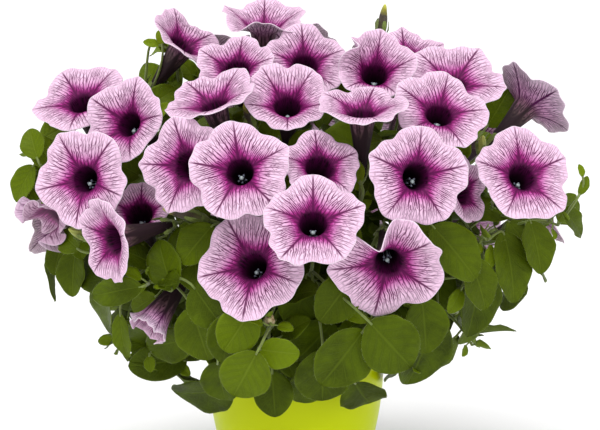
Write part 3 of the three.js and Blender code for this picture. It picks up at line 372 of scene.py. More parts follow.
# ---- Meshes ----
class Surface:
    """The patches of one mesh, gathered as arrays and put into Blender at once."""

    def __init__(self):
        self.count = 0
        self.points, self.tones = [], []
        self.faces, self.places, self.finishes = {3: [], 4: []}, {3: [], 4: []}, {3: [], 4: []}

    def lay(self, grid, places=None, start=None, end=None, finish=0, tone=0.0):
        """Adds a closed patch: rows of rings, each end drawn together to a point of its own.

        grid is rows by columns by 3, and places (the texture's place) has one column more, so that the
        pattern doesn't run backwards where the ring closes. Faces are turned to point outwards.
        """
        rows, columns = grid.shape[:2]
        if places is None:
            places = grid_places(np.linspace(0, 1, columns + 1), np.linspace(0, 1, rows))
        start = grid[0].mean(0) if start is None else start
        end = grid[-1].mean(0) if end is None else end
        points = np.concatenate([grid.reshape(-1, 3), [start, end]])
        index = np.arange(rows * columns).reshape(rows, columns)
        index = np.concatenate([index, index[:, :1]], 1)
        corners = [np.s_[:-1, :-1], np.s_[:-1, 1:], np.s_[1:, 1:], np.s_[1:, :-1]]
        quads = np.stack([index[c] for c in corners], -1).reshape(-1, 4)
        quad_places = np.stack([places[c] for c in corners], 2).reshape(-1, 4, 2)
        tips, tip_places = [], []
        for row, pole, flip in ((0, rows * columns, 1), (-1, rows * columns + 1, -1)):
            a, b = index[row, :-1], index[row, 1:]
            pa, pb = places[row, :-1], places[row, 1:]
            tips.append(np.stack([b, a, np.full(columns, pole)], 1)[:, ::flip])
            tip_places.append(np.stack([pb, pa, (pa + pb) / 2], 1)[:, ::flip])
        tips, tip_places = np.concatenate(tips), np.concatenate(tip_places)
        halves = np.concatenate([tips, quads[:, :3], quads[:, [0, 2, 3]]])
        a, b, c = (points[halves[:, k]] for k in range(3))
        flip = -1 if np.einsum("ij,ij->", a, np.cross(b, c)) < 0 else 1
        finish = np.broadcast_to(finish, (rows - 1, columns))
        tone = np.broadcast_to(tone, (rows, columns))
        for size, faces, spots, finishes in (
            (4, quads, quad_places, finish.ravel()),
            (3, tips, tip_places, np.concatenate([finish[0], finish[-1]])),
        ):
            self.faces[size].append(self.count + faces[:, ::flip])
            self.places[size].append(spots[:, ::flip])
            self.finishes[size].append(finishes)
        self.points.append(points)
        self.tones.append(np.concatenate([tone.ravel(), [tone[0].mean(), tone[-1].mean()]]))
        self.count += len(points)

    def rod(self, path, radii, sides, finish=0, tone=0.0):
        self.lay(tube(path, radii, sides), finish=finish, tone=tone)

    def spikes(self, roots, tips, radius):
        """Adds a slim three-sided needle from each root to its tip."""
        along = unit(tips - roots)
        side = unit(np.cross(along, np.where(np.abs(along[:, 2:]) < 0.9, UP, [1.0, 0.0, 0.0])))
        other = np.cross(along, side)
        angle = np.arange(3) * 2 * math.pi / 3
        ring = roots[:, None] + radius * (np.cos(angle)[:, None] * side[:, None]
                                          + np.sin(angle)[:, None] * other[:, None])
        points = np.concatenate([ring, tips[:, None]], 1)
        first = self.count + 4 * np.arange(len(roots))[:, None]
        faces = [(0, 1, 3), (1, 2, 3), (2, 0, 3), (0, 2, 1)]
        faces = np.concatenate([first + np.array(face) for face in faces])
        self.faces[3].append(faces)
        self.places[3].append(np.zeros((len(faces), 3, 2)))
        self.finishes[3].append(np.zeros(len(faces)))
        self.points.append(points.reshape(-1, 3))
        self.tones.append(np.zeros(4 * len(roots)))
        self.count += 4 * len(roots)

    def build(self, name, finishes, slot, nodes=()):
        """Makes the Blender object, which rides on the root body and stands for CAD nodes."""
        mesh = bpy.data.meshes.new(name)
        points = np.concatenate(self.points) * MM
        sizes = [size for size in (4, 3) if self.faces[size]]
        faces = [np.concatenate(self.faces[size]) for size in sizes]
        corners = np.concatenate([each.ravel() for each in faces])
        lengths = np.concatenate([np.full(len(each), each.shape[1]) for each in faces])
        places = np.concatenate([np.concatenate(self.places[size]).reshape(-1, 2) for size in sizes])
        numbers = np.concatenate([np.concatenate(self.finishes[size]) for size in sizes])
        mesh.vertices.add(len(points))
        mesh.vertices.foreach_set("co", points.ravel())
        mesh.loops.add(len(corners))
        mesh.loops.foreach_set("vertex_index", corners.astype(np.int32))
        mesh.polygons.add(len(lengths))
        mesh.polygons.foreach_set("loop_start", (np.cumsum(lengths) - lengths).astype(np.int32))
        mesh.polygons.foreach_set("material_index", numbers.astype(np.int32))
        mesh.polygons.foreach_set("use_smooth", np.ones(len(lengths), bool))
        mesh.update(calc_edges=True)
        layer = mesh.uv_layers.new(name="Pattern")
        layer.uv.foreach_set("vector", places.astype(np.float32).ravel())
        tone = mesh.attributes.new("tone", "FLOAT", "POINT")
        tone.data.foreach_set("value", np.concatenate(self.tones).astype(np.float32))
        for finish in finishes:
            mesh.materials.append(finish)
        piece = bpy.data.objects.new(name, mesh)
        bpy.context.scene.collection.objects.link(piece)
        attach(piece, "root")
        if nodes:
            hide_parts(*nodes)
        return piece


def tube(path, radii, sides):
    """Rings of a round tube: across each point of the path, a circle of its radius."""
    along = unit(np.gradient(path, axis=0))
    rest = np.eye(3)[np.abs(along).max(0).argmin()]
    side = unit(np.cross(along, rest))
    other = np.cross(side, along)
    angle = np.arange(sides) * 2 * math.pi / sides
    ring = np.cos(angle)[None, :, None] * side[:, None] + np.sin(angle)[None, :, None] * other[:, None]
    return path[:, None] + np.broadcast_to(radii, len(path))[:, None, None] * ring


def bead(centre, axis, length, radius, rows=6, sides=8):
    """Rings of an egg: its radius follows a half circle along its axis."""
    t = (np.arange(rows) + 0.5) / rows
    path = centre + np.outer((t - 0.5) * length, axis)
    return tube(path, radius * np.sqrt(1 - (2 * t - 1) ** 2), sides)


# ---- Finishes ----
class Number:
    """A number that a finish's nodes work out. Sums and products with it add nodes."""

    def __init__(self, finish, socket):
        self.finish, self.socket = finish, socket

    def __add__(self, other):
        return self.finish.calc("ADD", self, other)

    def __sub__(self, other):
        return self.finish.calc("SUBTRACT", self, other)

    def __rsub__(self, other):
        return self.finish.calc("SUBTRACT", other, self)

    def __mul__(self, other):
        return self.finish.calc("MULTIPLY", self, other)

    def __pow__(self, other):
        return self.finish.calc("POWER", self, other)

    def __abs__(self):
        return self.finish.calc("ABSOLUTE", self)

    def most(self, other):
        """The larger of the two numbers."""
        return self.finish.calc("MAXIMUM", self, other)

    def zigzag(self):
        """How far the nearest whole number is, 0 to 0.5."""
        return self.finish.calc("PINGPONG", self, 0.5)


class Finish:
    """A material whose pattern is worked out by nodes, written as short calls."""

    def __init__(self, name, roughness, **sockets):
        self.material = bpy.data.materials.new(name)
        self.material.use_nodes = True
        self.nodes = self.material.node_tree.nodes
        self.shader = self.nodes["Principled BSDF"]
        self.shader.inputs["Roughness"].default_value = roughness
        for socket, value in sockets.items():
            self.shader.inputs[socket.replace("_", " ")].default_value = value
        self.place = self.nodes.new("ShaderNodeTexCoord").outputs["Object"]

    def put(self, socket, value):
        """Gives a socket a number, a colour or another socket's result."""
        if isinstance(value, Number):
            value = value.socket
        if isinstance(value, bpy.types.NodeSocket):
            self.material.node_tree.links.new(value, socket)
        else:
            socket.default_value = (*value, 1.0) if isinstance(value, tuple) else value

    def node(self, kind, **values):
        """A new node, with values put into its named sockets."""
        node = self.nodes.new(kind)
        for name, value in values.items():
            self.put(node.inputs[name.replace("_", " ")], value)
        return node

    def calc(self, operation, *values):
        node = self.nodes.new("ShaderNodeMath")
        node.operation = operation
        for socket, value in zip(node.inputs, values):
            self.put(socket, value)
        return Number(self, node.outputs[0])

    def fade(self, value, low, high, first=0.0, last=1.0):
        """A smooth step from first, at low, to last, at high."""
        node = self.node("ShaderNodeMapRange", Value=value, From_Min=low, From_Max=high, To_Min=first,
                         To_Max=last)
        node.interpolation_type = "SMOOTHSTEP"
        return Number(self, node.outputs[0])

    def blend(self, share, first, second):
        node = self.nodes.new("ShaderNodeMix")
        node.data_type = "RGBA"
        self.put(node.inputs["Factor"], share)
        for socket, value in zip([s for s in node.inputs if s.type == "RGBA"], (first, second)):
            self.put(socket, value)
        return next(s for s in node.outputs if s.type == "RGBA")

    def ramp(self, value, *stops):
        """A colour that runs through stops of (share, colour)."""
        node = self.nodes.new("ShaderNodeValToRGB")
        marks = node.color_ramp.elements
        while len(marks) < len(stops):
            marks.new(0.5)
        for mark, (share, colour) in zip(marks, stops):
            mark.position, mark.color = share, (*colour, 1.0)
        self.put(node.inputs[0], value)
        return node.outputs[0]

    def pattern(self):
        """The pattern map's two numbers: across and along."""
        source = self.nodes.new("ShaderNodeUVMap")
        source.uv_map = "Pattern"
        node = self.node("ShaderNodeSeparateXYZ", Vector=source.outputs[0])
        return [Number(self, socket) for socket in node.outputs[:2]]

    def tone(self):
        """The number that a patch was laid with."""
        node = self.nodes.new("ShaderNodeAttribute")
        node.attribute_name = "tone"
        return Number(self, node.outputs["Fac"])

    def noise(self, scale, detail=2.0):
        node = self.node("ShaderNodeTexNoise", Vector=self.place, Scale=scale, Detail=detail)
        return Number(self, node.outputs[0])

    def cells(self, place, scale):
        """The distance from the nearest edge between cells."""
        node = self.node("ShaderNodeTexVoronoi", Vector=place, Scale=scale)
        node.feature = "DISTANCE_TO_EDGE"
        return Number(self, node.outputs["Distance"])

    def bump(self, height, distance, strength):
        node = self.node("ShaderNodeBump", Height=height, Distance=distance * MM, Strength=strength)
        self.put(self.shader.inputs["Normal"], node.outputs[0])

    def done(self, colour):
        self.put(self.shader.inputs["Base Color"], colour)
        return self.material


def vein_lines(finish, x, y):
    """The veins of a limb: how strong the main veins, the dark bands beside them and the fine veins are.

    x is 0 at a lobe's main vein and 0.5 at the notch, and y runs from the mouth to the rim. A side vein
    leaves the main vein at a distance r0 from the middle and bends outwards as r0 = r * (1 - 2.5 * x), so
    lines of even r0 stay evenly apart. Cells stretched along them make the forks and the cross links.
    """
    noise, fade = finish.noise, finish.fade
    drift, shake = noise(95) - 0.5, noise(420, 1) - 0.5
    radius = y * LIMB_RUN + TRUMPET["mouth"]
    aside = x * radius * (2 * math.pi / 5) + drift
    main_width, band_width = 1.45 - y * 0.85, 6.2 - y * 3.6
    main = fade(aside, main_width * 0.3, main_width, 1, 0) * fade(y, 0.8, 1, 1, 0.4)
    band = fade(aside, 0, band_width, 1, 0) * fade(y, 0.1, 0.95, 1, 0)
    phase = radius * (1 - x * 2.5) * 0.215 + drift * 1.3 + shake * 0.35
    wave = phase.zigzag() * 2
    thick = 0.66 - y * 0.28
    sides = fade(wave, 0.08, thick, 1, 0) * fade(noise(170), 0.34, 0.58, 0.6, 1)
    forks = fade(wave, 1 - thick * 0.8, 0.95) * fade(noise(190), 0.47, 0.6)
    place = finish.node("ShaderNodeCombineXYZ", X=phase, Y=radius * 0.13).outputs[0]
    cells = fade(finish.cells(place, 1), 0, 0.08, 1, 0) * 0.6
    return main, band, sides.most(forks).most(cells) * fade(y, 0.6, 1, 1, 0.35)


def petal_finish(name, settings, back=False, faded=False):
    """A limb's face or back: pale at the rim, magenta and then nearly black towards the throat. The back's
    limb is pale partly by its own colour and partly by painted light, as if light shone through the thin
    petal.
    """
    finish = Finish(name, 0.6, Specular_IOR_Level=0.16)
    noise, fade, blend = finish.noise, finish.fade, finish.blend
    across, y = finish.pattern()
    cloud = noise(45) - 0.5
    main, band, web = vein_lines(finish, (across * 5).zigzag(), y)
    rim, limb, inner, throat, vein = (tuple(each) for each in (
        settings.rim_colour, settings.limb_colour, settings.inner_colour, settings.throat_colour,
        settings.vein_colour))
    if back:
        tube_vein, limb_vein = tint(44, 28, 34), tint(88, 22, 80)
        shade = (y + cloud * 0.15) * 0.5 + 0.5
        # From 0.62 on, the back's limb is paler than the face. This is partly the underside's own colour and
        # partly painted light that stands in for light shining through the thin petal.
        ground = finish.ramp(shade, (0, tint(104, 104, 52)), (0.14, tint(92, 82, 62)),
                             (0.38, tint(90, 72, 68)), (0.5, tint(128, 86, 108)), (0.62, tint(222, 164, 208)),
                             (0.85, tint(242, 206, 236)), (1, tint(246, 220, 242)))
        streak = fade((across * 10).zigzag(), 0.02, 0.22, 0.6, 0) * fade(y, -0.35, 0.1, 1, 0)
        colour = blend(main.most(web), ground, blend(fade(y, -0.1, 0.15), tube_vein, limb_vein))
        colour = blend(streak, colour, tint(38, 26, 28))
    else:
        reach = y + cloud * 0.16 + (finish.tone() - 0.5) * -0.08 - web * 0.06
        ground = finish.ramp(reach + 0.2 - band * 0.15, (0, throat), (0.17, throat), (0.22, tint(88, 8, 66)),
                             (0.3, inner), (0.4, tint(204, 108, 178)), (0.6, limb), (0.86, rim), (1, rim))
        ground = blend(band * 0.55, ground, inner)
        ground = blend(fade(reach, -0.04, 0.07, 1, 0), ground, throat)
        colour = blend((main * 0.95).most(web) * fade(y, -0.3, 0), ground, vein)
    colour = blend(fade(y, 0.965, 1, 0, 0.6), colour, tint(250, 238, 248))
    if faded:
        colour = blend(0.4, colour, tint(150, 116, 138))
    finish.bump(web * -0.5 + noise(1500, 1) * 0.35, 0.25, 0.5)
    return finish.done(colour)


def leaf_finish(name, settings, under=False):
    """A blade: green, with a pale midrib and side veins that curve forward, finer cells and pale margins, and
    painted shade that darkens the grooves along the midrib and side veins.
    """
    finish = Finish(name, 0.62 if under else 0.46, Specular_IOR_Level=0.09)
    noise, fade, blend = finish.noise, finish.fade, finish.blend
    across, y = finish.pattern()
    x = abs(across - 0.5) * 2
    drift, grain, young = noise(110) - 0.5, noise(900), finish.tone()
    midrib = fade(x + drift * 0.02, 0.015, 0.075, 1, 0)
    wave = (y * SIDE_VEINS["pairs"] - x ** SIDE_VEINS["power"] * SIDE_VEINS["lean"] + drift * 0.5).zigzag()
    side = fade(wave, 0.01, 0.09, 1, 0) * fade(x, 0.55, 1, 1, 0.15)
    cell = fade(finish.cells(finish.place, 330), 0, 0.1, 1, 0) * 0.35
    veins = midrib.most(side * 0.6).most(cell)
    # Painted shade: a mask that is strongest along the midrib and beside the side veins, where the grooves
    # would lie in shade.
    painted_groove_shade = (fade(wave, 0, 0.32, 1, 0) * fade(x, 0.75, 1, 1, 0)).most(fade(x, 0, 0.22, 1, 0))
    old, fresh = tuple(settings.old_colour), tuple(settings.young_colour)
    dark = tuple(c * 0.4 for c in old)
    pale = blend(young, tint(98, 118, 18), tint(146, 166, 52))
    ground = blend(young, blend(fade(noise(42, 3), 0.38, 0.62), dark, old), fresh)
    # Darkens the blade by the painted groove shade, less on young leaves.
    ground = blend(painted_groove_shade * (0.3 - young * 0.22), ground, dark)
    if under:
        ground = blend(0.35, ground, tint(118, 134, 62))
    colour = blend(veins * 0.3, ground, pale)
    colour = blend(fade(x, 0.9, 1) * 0.35, colour, pale)
    finish.bump(veins * (0.7 if under else -0.8) + grain * 0.3, 0.35, 0.7)
    glossy, dull = (0.5, 0.7) if under else (0.38, 0.56)
    finish.put(finish.shader.inputs["Roughness"], fade(grain, 0.3, 0.7, glossy, dull))
    return finish.done(colour)


def stem_finish(settings):
    """Stems and stalks: green, redder and darker in streaks along them, and paler where young."""
    finish = Finish("Stem skin", 0.6, Sheen_Weight=0.25, Sheen_Roughness=0.5)
    base = tuple(settings.stem_colour)
    dark = tuple(c * f for c, f in zip(base, (0.62, 0.5, 0.55)))
    colour = finish.blend(finish.fade(finish.noise(160, 3), 0.35, 0.7), base, dark)
    colour = finish.blend(finish.tone(), colour, tint(132, 152, 62))
    finish.bump(finish.noise(1200), 0.3, 0.6)
    return finish.done(colour)


def bud_finish():
    """A bud: green at its foot, dark purple along its folds and yellow-green at its tip."""
    finish = Finish("Bud skin", 0.55, Sheen_Weight=0.3, Sheen_Roughness=0.5)
    _, y = finish.pattern()
    shade = y + (finish.noise(300) - 0.5) * 0.25
    colour = finish.ramp(shade, (0, tint(110, 120, 50)), (0.3, tint(84, 74, 50)), (0.66, tint(62, 50, 36)),
                         (0.84, tint(150, 146, 30)), (1, tint(206, 206, 60)))
    colour = finish.blend(finish.tone(), colour, tint(164, 172, 74))
    finish.bump(finish.noise(900), 0.3, 0.7)
    return finish.done(colour)


def plain_finish(name, roughness, first, second, scale, bump):
    """Two near colours in soft patches with a fine grain, for hairs, withered petals and the floor."""
    finish = Finish(name, roughness)
    colour = finish.blend(finish.fade(finish.noise(scale), 0.35, 0.65), first, second)
    finish.bump(finish.noise(scale * 6), bump, 0.5)
    return finish.done(colour)


def pistil_finish():
    """Anthers are blue-grey and the stigma is pale green to white."""
    finish = Finish("Stigma and anthers", 0.35, Coat_Weight=0.3)
    grain = finish.noise(1600)
    colour = finish.blend(finish.tone(), tint(72, 78, 104), tint(150, 164, 164))
    colour = finish.blend(finish.fade(grain, 0.3, 0.7, 0, 0.3), colour, tint(204, 212, 218))
    finish.bump(grain, 0.2, 0.8)
    return finish.done(colour)


def pot_finish(settings):
    """Moulded plastic: even, with faint cloudiness, a fine grain and small scuffs that turn it duller."""
    finish = Finish("Pot plastic", 0.34, Specular_IOR_Level=0.13)
    base = tuple(settings.plastic_colour)
    deep = tuple(c * f for c, f in zip(base, (0.86, 0.84, 0.8)))
    scuff = finish.fade(finish.noise(240, 4), 0.58, 0.74)
    finish.put(finish.shader.inputs["Roughness"], scuff * 0.2 + 0.32)
    finish.bump(finish.noise(1400), 0.06, 0.4)
    return finish.done(finish.blend(finish.fade(finish.noise(9), 0.3, 0.7), deep, base))


def soil_finish(settings):
    """Moist peat: dark crumbs with lighter bark and a few pale grains, by tone."""
    finish = Finish("Potting soil", 0.9)
    base = tuple(settings.soil_colour)
    bark = tuple(min(1.0, c * 2.6) for c in base)
    colour = finish.blend(finish.fade(finish.noise(380, 4), 0.35, 0.7), base, bark)
    colour = finish.blend(finish.tone(), colour, tint(196, 188, 172))
    finish.bump(finish.noise(520, 5), 1.0, 0.9)
    return finish.done(colour)


# ---- What grew where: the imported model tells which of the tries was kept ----
def node_points(name):
    """A CAD node's vertices, in mm."""
    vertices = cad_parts[name].data.vertices
    points = np.zeros(len(vertices) * 3, np.float32)
    vertices.foreach_get("co", points)
    return points.reshape(-1, 3).astype(float) / MM


def bloom_of(row):
    x, y, z, turn, tilt, roll, width, cup = row[:8]
    folds = row[8] if len(row) > 8 else (0, 0, 0, 0, 0)
    return {"at": np.array([x, y, z], float), **facing(turn, tilt), "roll": math.radians(roll),
            "radius": width / 2, "cup": math.radians(cup), "folds": np.radians(folds)}


def back_rows():
    """Blooms round the sides and back: even places on the crown with drawn turns, leans and sizes."""
    rows = []
    for up, first, last, count in BACK_ROWS:
        for k in range(count):
            n = len(rows) + 1
            around = first + (last - first) * (k + 0.5) / count
            spot = on_shell(CROWN, around, up + BACK_BLOOM["sway"] * (draw(n) - 0.5), BACK_BLOOM["reach"])
            lean = math.degrees(math.asin(spot["normal"][2])) + BACK_BLOOM["lift"] * draw(n + 100)
            rows.append((
                *spot["at"], around + BACK_BLOOM["turn_spread"] * (draw(n + 50) - 0.5),
                min(lean, BACK_BLOOM["steepest"]), LOBE * draw(n + 150),
                BACK_BLOOM["width"] + BACK_BLOOM["width_spread"] * (draw(n + 200) - 0.5),
                BACK_BLOOM["cup"] + BACK_BLOOM["cup_spread"] * draw(n + 250),
            ))
    return rows


def bud_of(row):
    x, y, z, turn, tilt, length, radius = row
    axes = facing(turn, tilt)
    return {**axes, "roll": 0.0, "base": np.array([x, y, z]) - axes["w"] * length, "length": length,
            "radius": radius}


def stem_foot(around, up):
    out = FOOT["inner"] if up > STEEP else FOOT["outer"]
    a = math.radians(around)
    return np.array([out * math.sin(a), -out * math.cos(a), SOIL["top"] - STEM_HOLE_DEPTH + GAP])


def stem_ends(around, up):
    """A leafy stem's curve, from just above the soil to its fork."""
    out = direction(around, up)
    fork = HEART + out * STEM["fork"]
    start = stem_foot(around, up) + UP * (STEM_HOLE_DEPTH + FOOT["above"])
    late = fork - out * STEM["arrive"] - UP * STEM["level"]
    return np.array([start, start + UP * STEM["rise"], late, fork])


def nearest_stem(point):
    way = unit(point - HEART)
    return int(np.argmax([way @ direction(*lean) for lean in LEANS]))


def ring_hits(points, ends, steps, radii):
    """How many vertices lie at a tube's radius from the points of its path: its rings, if it is there."""
    hits = 0
    for k, radius in radii:
        distance = np.linalg.norm(points - bezier(ends, k / steps), axis=1)
        hits += min(int((np.abs(distance - radius) < MATCH).sum()), MOST_HITS)
    return hits


def kept_try(stem, tries, steps, radii, name):
    """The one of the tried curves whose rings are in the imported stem."""
    hits = [ring_hits(stem["points"], ends, steps, radii) for ends in tries]
    if max(hits) < FEWEST_HITS:
        raise RuntimeError(f"{name} isn't in the packed model")
    return tries[int(np.argmax(hits))]


def stalk_ends(stem, neck, flower, start, aside, lift):
    """A stalk's curve: it leaves its stem along it and arrives along the way the flower faces."""
    root = bezier(stem, start)
    along = unit(bezier(stem, min(start + NEAR, 1)) - bezier(stem, start - NEAR))
    span = np.linalg.norm(neck - root)
    bend = flower["e"] * aside + flower["v"] * lift
    return np.array([root, root + along * STALK["leave"] * span + bend,
                     neck - flower["w"] * STALK["arrive"] * span + bend * 0.5, neck])


def shoot_ends(stem, start, around, up, reach, aside, lift):
    """A shoot's curve, from its stem out to a place near the mound."""
    spot = on_shell(MOUND, around, up, reach)
    root = bezier(stem, start)
    along = unit(bezier(stem, start + NEAR) - root)
    span = np.linalg.norm(spot["at"] - root)
    bend = spot["right"] * aside + UP * lift
    late = spot["at"] - spot["normal"] * SHOOT["arrive"] * span + UP * SHOOT["droop"] * span + bend * 0.6
    return np.array([root, root + along * SHOOT["leave"] * span + bend, late, spot["at"] + bend * 0.2])


def leaf_of(row, light, turn, lift, size, slide):
    """A leaf on the mound: its base, the way its tip points, its upper side and its right."""
    around, up, reach, heading, length, width = row
    spot = on_shell(MOUND, around + slide, up, reach)
    a = math.radians(heading + turn)
    way = spot["top"] * math.cos(a) + spot["right"] * math.sin(a)
    middle = spot["at"] + spot["normal"] * lift
    length, width = length * size, width * size
    face = spot["normal"] + LIGHT * light * math.sin(math.radians(around + slide)) ** 2
    normal = unit(face - way * (face @ way))
    return {"base": middle - way * length / 2, "tip": middle + way * length / 2, "way": way,
            "normal": normal, "side": np.cross(way, normal), "length": length, "width": width}


def more_leaf_of(row, seed):
    x, y, z, turn, tilt, heading, length, width, young = row
    axes = facing(turn, tilt)
    a = math.radians(heading)
    way = axes["v"] * math.cos(a) + axes["e"] * math.sin(a)
    return {"base": np.array([x, y, z]) - way * length / 2, "way": way, "normal": axes["w"],
            "side": np.cross(way, axes["w"]), "length": length, "width": width, "young": young, "seed": seed}


def fill_rows():
    """Leaves that fill the mound: an even spiral with drawn headings and sizes."""
    rows = []
    for n in range(FILL["count"]):
        up = math.degrees(math.asin(1 - 2 * (n + 0.5) / FILL["count"]))
        if up < FILL["lowest"]:
            break
        grown = 1 + FILL["spread"] * (draw(n + 300) - 0.5)
        heading = 180 + FILL["swing"] * (draw(n + 500) - 0.5)
        low = min(max(-up / FILL["tuck_below"], 0), 1)
        reach = 1 - FILL["tuck"] * low * math.sin(math.radians(n * TURN)) ** 2
        rows.append((n * TURN, up, reach, heading, FILL["length"] * grown, FILL["width"] * grown))
    return rows


def gap_rows():
    """The leaves that close gaps, each with its turn, tilt and youth from the rotation."""
    rows = []
    for k, (x, y, z, *size) in enumerate(GAP_LEAVES):
        turn = GAP_LEAF["turns"][k % 3] + (GAP_LEAF["further"] if x > GAP_LEAF["right"] else 0)
        rows.append((x, y, z, turn, GAP_LEAF["tilts"][k % 4], *size, GAP_LEAF["young"][k % 3]))
    return rows


def add_buds(stem, ends, steps, first, last):
    """The points of a curve where a leaf may grow: on its straight lengths, and where it really runs."""
    shares = np.arange(4 * steps + 1) / (4 * steps)
    shares = shares[(shares >= first) & (shares <= last)]
    marks = np.arange(steps + 1) / steps
    corners = bezier(ends, marks)
    flat = np.stack([np.interp(shares, marks, corners[:, k]) for k in range(3)], 1)
    stem["buds"].append(flat)
    stem["spots"].append(bezier(ends, shares))


def leaf_root(pool, leaf):
    """The point of the stems that a leaf grows from: near its base, below it and behind it."""
    ideal = unit(leaf["way"] * PETIOLE["ahead"] + leaf["normal"] * PETIOLE["rise"])
    away = leaf["base"] - pool["buds"]
    distance = np.linalg.norm(away, axis=1)
    cost = distance * PETIOLE["stray"] - away @ ideal
    cost[distance < PETIOLE["shortest"]] = np.inf
    return int(np.argmin(cost))


def read_stalks(stems, flowers):
    """Gives each flower its stalk, on the stem that leans nearest to it."""
    for number, flower in enumerate(flowers, 1):
        stem = stems[nearest_stem(flower["base"])]
        neck = flower["base"] - flower["w"] * STALK["neck_length"]
        count = len(stem["stalks"])
        tries = [stalk_ends(stem["ends"], neck, flower, FORKS[(k + count) % len(FORKS)], aside, lift)
                 for k in range(len(FORKS)) for aside, lift in BENDS]
        rings = [(1, STALK["radius"]), (2, STALK["radius"])]
        ends = kept_try(stem, tries, STALK["steps"], rings, f"the stalk of flower {number}")
        stem["stalks"].append({"ends": ends, "flower": flower})
        add_buds(stem, ends, STALK["steps"], *STALK["buds"])


def read_shoots(stems):
    """Gives each outer stem its low shoot, and the arms of the mound to the stems nearest to them."""
    places = [(k, LOW_SHOOT["start"], around, LOW_SHOOT["up"], LOW_SHOOT["reach"])
              for k, (around, up) in enumerate(LEANS) if up <= STEEP]
    places += [(nearest_stem(on_shell(MOUND, *arm)["at"]), ARM_START, *arm) for arm in ARMS]
    thin = (SHOOT["tip"] - SHOOT["radius"]) / SHOOT["steps"]
    rings = [(k, SHOOT["radius"] + thin * k) for k in (1, 2, 3)]
    for number, start, around, up, reach in places:
        stem = stems[number]
        tries = [shoot_ends(stem["ends"], start, around, up, reach, *bend) for bend in SHOOT_BENDS]
        ends = kept_try(stem, tries, SHOOT["steps"], rings, f"the shoot at {around}, {up}")
        stem["shoots"].append(ends)
        add_buds(stem, ends, SHOOT["steps"], *SHOOT["buds"])


def read_leaves(stems):
    """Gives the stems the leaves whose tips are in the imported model, and the smaller ones."""
    pool = {key: np.concatenate([np.concatenate(stem[key]) for stem in stems]) for key in ("buds", "spots")}
    owner = np.concatenate([np.full(sum(map(len, stem["buds"])), k) for k, stem in enumerate(stems)])
    corners = np.concatenate([stem["points"] for stem in stems])

    def add(leaf):
        spot = leaf_root(pool, leaf)
        stems[owner[spot]]["leaves"].append({**leaf, "root": pool["spots"][spot]})

    rows = [(row, FRONT_LEAF_LIGHT, FRONT_TRIES, YOUNG_LEAVES.get(k, YOUNG))
            for k, row in enumerate(FRONT_LEAVES, 1)]
    rows += [(row, 0, FILL_TRIES, 0.0) for row in fill_rows()]
    for number, (row, light, tries, young) in enumerate(rows):
        for each in tries:
            leaf = leaf_of(row, light, *each)
            if np.abs(corners - leaf["tip"]).max(1).min() < MATCH:
                add({**leaf, "young": young, "seed": number})
                break
    for number, row in enumerate(MORE_LEAVES + gap_rows(), len(rows)):
        add(more_leaf_of(row, number))


def read_plant():
    """Repeats the plant's rules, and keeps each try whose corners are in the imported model."""
    blooms = [bloom_of(row) for row in FRONT_BLOOMS + back_rows()]
    stems = [{"ends": stem_ends(*lean), "buds": [], "spots": [], "stalks": [], "shoots": [], "leaves": [],
              "points": node_points(f"leafy_stem_{k + 1:02d}")} for k, lean in enumerate(LEANS)]
    for stem in stems:
        add_buds(stem, stem["ends"], STEM["steps"], *STEM["buds"])
    flowers = [{**bloom, "base": bloom["at"] - bloom["w"] * TRUMPET["length"], "bud": False}
               for bloom in blooms]
    flowers += [{**bud_of(row), "bud": True, "number": k} for k, row in enumerate(BUDS, 1)]
    read_stalks(stems, flowers)
    read_shoots(stems)
    read_leaves(stems)
    return blooms, stems


# ---- Pot and soil ----
def pot_radius(z):
    down = (POT["height"] - z) / POT["height"]
    return POT["base"] + (POT["top"] - POT["base"]) * (1 - down ** POT["bulge"])


def turned(profile, columns):
    """Rings of a turned form, one for each (radius, height) of its profile."""
    profile = np.asarray(profile, float)
    angle = np.arange(columns) * 2 * math.pi / columns
    way = np.stack([np.sin(angle), -np.cos(angle), np.zeros(columns)], 1)
    return profile[:, :1, None] * way + profile[:, 1:, None] * UP


def arc(centre, radius, first, last, count):
    """Points of an arc in the (radius, height) plane, between two angles in degrees."""
    a = np.radians(np.linspace(first, last, count))
    return [(centre[0] + radius * math.cos(t), centre[1] + radius * math.sin(t)) for t in a]


def pot_profile():
    """The pot's outline, up its outside, over the rolled rim and down its inside."""
    height, base, rim, wall, floor = (POT[key] for key in ("height", "base", "rim", "wall", "floor"))
    rim_foot, inner_top = height - POT["rim_height"], pot_radius(height) - wall
    foot = arc((base - FOOT_ROUND, FOOT_ROUND), FOOT_ROUND, -90, -10, 5)
    outside = [(pot_radius(z), z) for z in np.linspace(1.2, rim_foot - 0.8, 30)]
    lip = arc((rim - UNDER_ROUND, rim_foot + UNDER_ROUND), UNDER_ROUND, -90, 0, 4)
    lip += arc((rim - LIP_ROUND, height - LIP_ROUND), LIP_ROUND, 0, 90, 6)
    lip += arc((inner_top + MOUTH_ROUND, height - MOUTH_ROUND), MOUTH_ROUND, 90, 180, 4)
    inside = [(pot_radius(z) - wall, z) for z in np.linspace(height - 2, floor + 1, 24)]
    return foot + outside + lip + inside + [(pot_radius(floor) - wall - 1, floor)]


